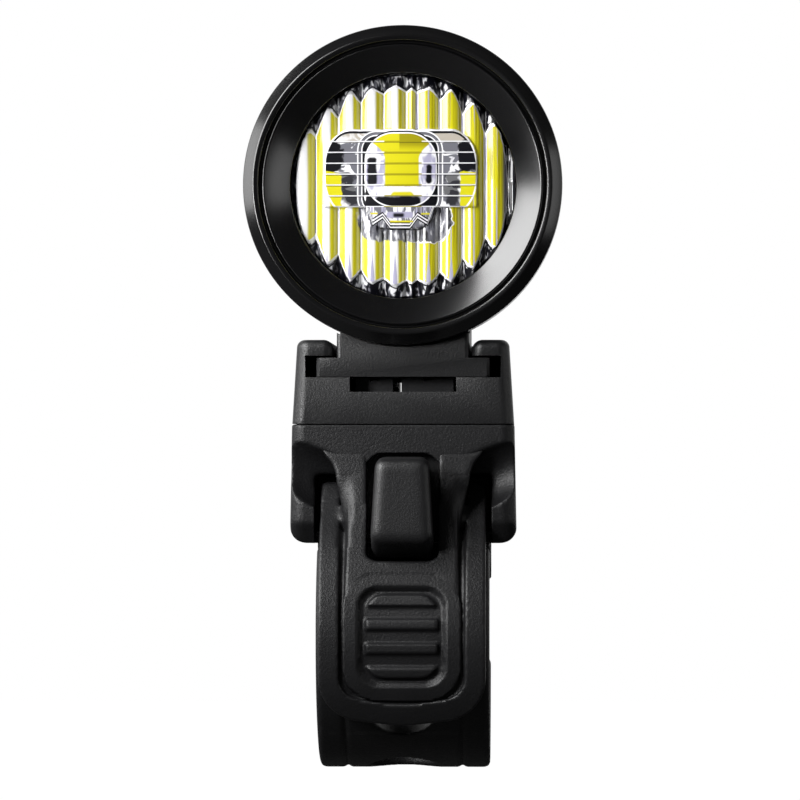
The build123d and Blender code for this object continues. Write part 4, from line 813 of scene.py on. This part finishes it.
def rubber_piece(node, name, cell, rounds):
    """A melted rubber copy of a CAD node, in place of that node."""
    obj = piece_from(merged_copy(node), name, rubber)
    melt(obj, cell, rounds)
    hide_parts(node)
    print(name, len(obj.data.polygons), "faces")
    return obj


# %% [markdown]
# ## Rubber strap, pad and saddle
#
# The ladder strap runs round the bar, and the pad lies between saddle and bar. Both only need their edges melted. The
# saddle needs a little more. The scoops in its front flow out without an edge, so they are smoothed again, and the
# foot of each wing slants back, so the lower points are moved back in proportion to how low they lie.

# %% Strap and bar pad, each with its cell size and rounds of smoothing
strap = rubber_piece("strap", "ladder_strap", 0.30 * mm, 4)
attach(strap, "strap")
bar_pad = rubber_piece("bar_pad", "grooved_bar_pad", 0.30 * mm, 2)
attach(bar_pad, "base")

# %% Saddle, with slanting feet under its wings
wing_inner = 12.2 * mm
wing_front = -13.0 * mm
wing_foot_top = 15.8 * mm
wing_foot_slant = 0.7

saddle = rubber_piece("saddle", "rubber_saddle", 0.25 * mm, 4)
for v in saddle.data.vertices:
    if abs(v.co.x) > wing_inner and v.co.y < wing_front and v.co.z < wing_foot_top:
        v.co.y += wing_foot_slant * (wing_foot_top - v.co.z)
soften(saddle, lambda x, y, z: 7.8 < abs(x) < 13.4 and y < -8 and 20.5 < z < 27, 12)
soften(saddle, lambda x, y, z: abs(x) > 12.6 and y < -11 and z < 24, 6)
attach(saddle, "base")

# %% [markdown]
# ## The pull tab and its crease
#
# The saddle and the pull tab are one rubber moulding. Its front is a single skin that bends at a crease when the tab
# is lifted, where the CAD has a hinge. Both could be melted into one mesh, but then their sides, 0.4 mm apart, would
# grow together. Here the tab alone is melted, with a pair of flaring plates that carry its skin over the crease, and
# with slim fillers that close the CAD's gap beside the hook.

# %% The tab with its fillers, melted
skin_outline = [(4.95, 21.2), (9.1, 21.2), (9.25, 22.5), (9.8, 24.0), (10.8, 25.2), (11.2, 26.4), (4.95, 26.4)]
skin_front = -16.0 * mm
skin_thickness = 1.4 * mm

bm = merged_copy("pull_tab")


def filler(low, high, lean=0.0):
    """A box between two corners, in millimetres, and its twin on the other side. Its front leans out downwards."""
    for side in (-1, 1):
        corners = bmesh.ops.create_cube(bm, size=1.0)["verts"]
        for v in corners:
            spot = [low[axis] if v.co[axis] < 0 else high[axis] for axis in range(3)]
            if v.co.y < 0 and v.co.z < 0:
                spot[1] -= lean
            v.co = Vector((side * spot[0], spot[1], spot[2])) * mm
    bmesh.ops.recalc_face_normals(bm, faces=bm.faces)


for side in (-1, 1):
    plate = bm.faces.new([bm.verts.new((side * x * mm, skin_front, z * mm)) for x, z in skin_outline])
    pushed = bmesh.ops.extrude_face_region(bm, geom=[plate])["geom"]
    back = [v for v in pushed if isinstance(v, bmesh.types.BMVert)]
    bmesh.ops.translate(bm, vec=(0, skin_thickness, 0), verts=back)
filler((4.95, -16.2, 10.4), (5.8, -14.5, 24.0), lean=3.9)
filler((7.3, -15.4, 12.8), (8.6, -14.5, 16.6))
tab = piece_from(bm, "pull_tab_skin", rubber)
melt(tab, 0.25 * mm, 3)
print("tab", len(tab.data.polygons), "faces")

# %% [markdown]
# The melted tab's front still has the CAD's small steps. Each point of it is therefore drawn onto a smooth profile: a
# steep slope below the crease that rounds over into the upright front, sinks into the saddle at its top, and has no
# step round the thumb pad. At last three regions of it are smoothed again, and its placing is baked into its mesh.

# %% Shape the skin and smooth it
crease_level, crease_round, slope_share = 24.3, 1.5, 0.15
front_level, outer_level = -16.0, -16.6
sink_depth = 0.5
panel_radius = 22.35
pad_half, pad_rise, pad_level, pad_corner = 5.75, 6.4, 0.4, 2.5


def on_skin(x, y, z, facing):
    """Whether a point, in millimetres, is on the tab's front beside and below the crease."""
    return y < -14.4 and facing < -0.3 and (z > 19 and abs(x) < 12 or z > 15 and abs(x) < 8.4)


def shaped(x, y, z, facing):
    """Where a point of the tab goes: the slope above the crease flows on, and the dish has no step."""
    if on_skin(x, y, z, facing):
        below = crease_level - z
        front = front_level - slope_share * (sqrt(below * below + crease_round) + below)
        outer = smooth_step(abs(x), 6.6, 8.6)
        front += max(outer_level - front, 0) * outer + sink_depth * smooth_step(z, 25.0, 26.4)
        return (x, y + (front - y) * smooth_step(z, 15, 17.5), z)
    reach = sqrt(y * y + z * z)
    if y < -14 and panel_radius - 0.8 < reach < panel_radius + 0.1 and abs(z) < 10.2:
        across = max(abs(x) - pad_half + pad_corner, 0)
        along = max(abs(z - pad_level) - pad_rise + pad_corner, 0)
        beside_pad = sqrt(across * across + along * along) - pad_corner
        if 0 < beside_pad < 2.3:
            grow = 1 + (panel_radius / reach - 1) * smooth_step(beside_pad, 0.1, 0.4)
            return (x, y * grow, z * grow)
    return (x, y, z)


# The facings are read before any point moves, because reading them afterwards works out all normals each time.
facings = [normal.vector.y for normal in tab.data.vertex_normals]
for v, facing in zip(tab.data.vertices, facings):
    v.co = Vector(shaped(*(v.co / mm), facing)) * mm
soften(tab, lambda x, y, z: abs(x) < 12 and y < -13.6 and 18.5 < z < 25.5, 8)
soften(tab, lambda x, y, z: abs(x) > 8.4 and y > -13.6 and z > 19.5, 10)
soften(tab, lambda x, y, z: 7.0 < abs(x) < 10.4 and y < -13.0 and 12.5 < z < 20.5, 12)
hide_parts("pull_tab")
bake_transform(tab)

# %% [markdown]
# ## The nylon mount and the lamp's body
#
# These are hard mouldings and turned metal, so they keep their edges. Melting would blur them. Each one is a merged
# copy of its CAD node, whose flat triangles are dissolved into whole faces, with a narrow rounded bevel. The bevel
# gives every edge the thin light line that real mouldings show.

# %% Hard pieces
flat_within = radians(0.6)
bevel_from = radians(32)
sharp_from_angle = radians(24)


def crisp(node, name, material, body, edge):
    """A merged copy of a CAD node with a narrow bevel on its sharp edges, in place of that node."""
    bm = merged_copy(node)
    bmesh.ops.dissolve_limit(bm, angle_limit=flat_within, verts=bm.verts, edges=bm.edges)
    obj = piece_from(bm, name, material)
    bevel = obj.modifiers.new("edges", "BEVEL")
    bevel.width = edge
    bevel.segments = 3
    bevel.limit_method = "ANGLE"
    bevel.angle_limit = bevel_from
    bevel.harden_normals = True
    settle(obj)
    obj.data.set_sharp_from_angle(angle=sharp_from_angle)
    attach(obj, body)
    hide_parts(node)
    print(name, len(obj.data.polygons), "faces")


hard_pieces = [
    ("slide_socket", "socket_block", nylon, "socket", 0.25),
    ("rail_foot", "rail_foot_moulding", nylon, "lamp", 0.25),
    ("release_button", "release_key", nylon, "release", 0.2),
    ("lamp_housing", "lamp_tube", anodised, "lamp", 0.15),
    ("rear_cap", "rear_cap_moulding", nylon, "lamp", 0.2),
]
for node, name, material, body, edge in hard_pieces:
    crisp(node, name, material, body, edge * mm)

# %% [markdown]
# ## The base core and its hook
#
# The core is a hard nylon moulding inside the saddle, and only its hook stands out, through the arch in the tab. A
# narrow bevel is too sharp for the hook, whose post is rounded all over, so this one is melted as rubber is. Its tip
# is then drawn down a little, as far as in the photograph.

# %% The base core, with the hook's rounded post
hook_front = -17.1 * mm
tip_level, tip_reach = 14.0, 2.5
tip_drop = 0.5 * mm

core = piece_from(merged_copy("base_core"), "base_and_hook", nylon)
melt(core, 0.28 * mm, 4)
for v in core.data.vertices:
    if v.co.y < hook_front:
        v.co.z -= tip_drop * smooth_step(tip_level - v.co.z / mm, 0, tip_reach)
soften(core, lambda x, y, z: y < -16.8, 14)
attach(core, "base")
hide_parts("base_core")
print("core", len(core.data.polygons), "faces")

# %% [markdown]
# ## The small pieces that stay as the CAD made them
#
# Screws, boards and contacts are already right in shape. They could be copied and bevelled too, but most are hidden
# or tiny. They keep their CAD meshes and only get their surfaces.

# %% Finish the remaining nodes
finishes = {
    "lens_gasket": seal_black, "rear_gasket": seal_black, "button_membrane": seal_black,
    "optic_holder": white_plastic, "led_board": turned_alloy, "led_emitter": phosphor, "heat_sink": turned_alloy,
    "cell_cradle": inner_black, "battery_cell": sleeve_blue, "battery_contacts": plated, "driver_board": board_green,
    "button_switch": inner_black, "usb_socket": zinc, "rear_cap_screws": zinc, "status_lights": frosted,
    "rail_screws": zinc, "power_button": rubber, "port_cover": rubber, "latch_leaf": spring_steel,
    "anchor_pin": zinc, "swivel_screw": zinc, "swivel_washer": zinc, "swivel_nut": zinc,
}
for node, material in finishes.items():
    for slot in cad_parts[node].material_slots:
        slot.material = material
print(sum(len(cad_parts[node].material_slots) for node in finishes), "slots on", len(finishes), "nodes")
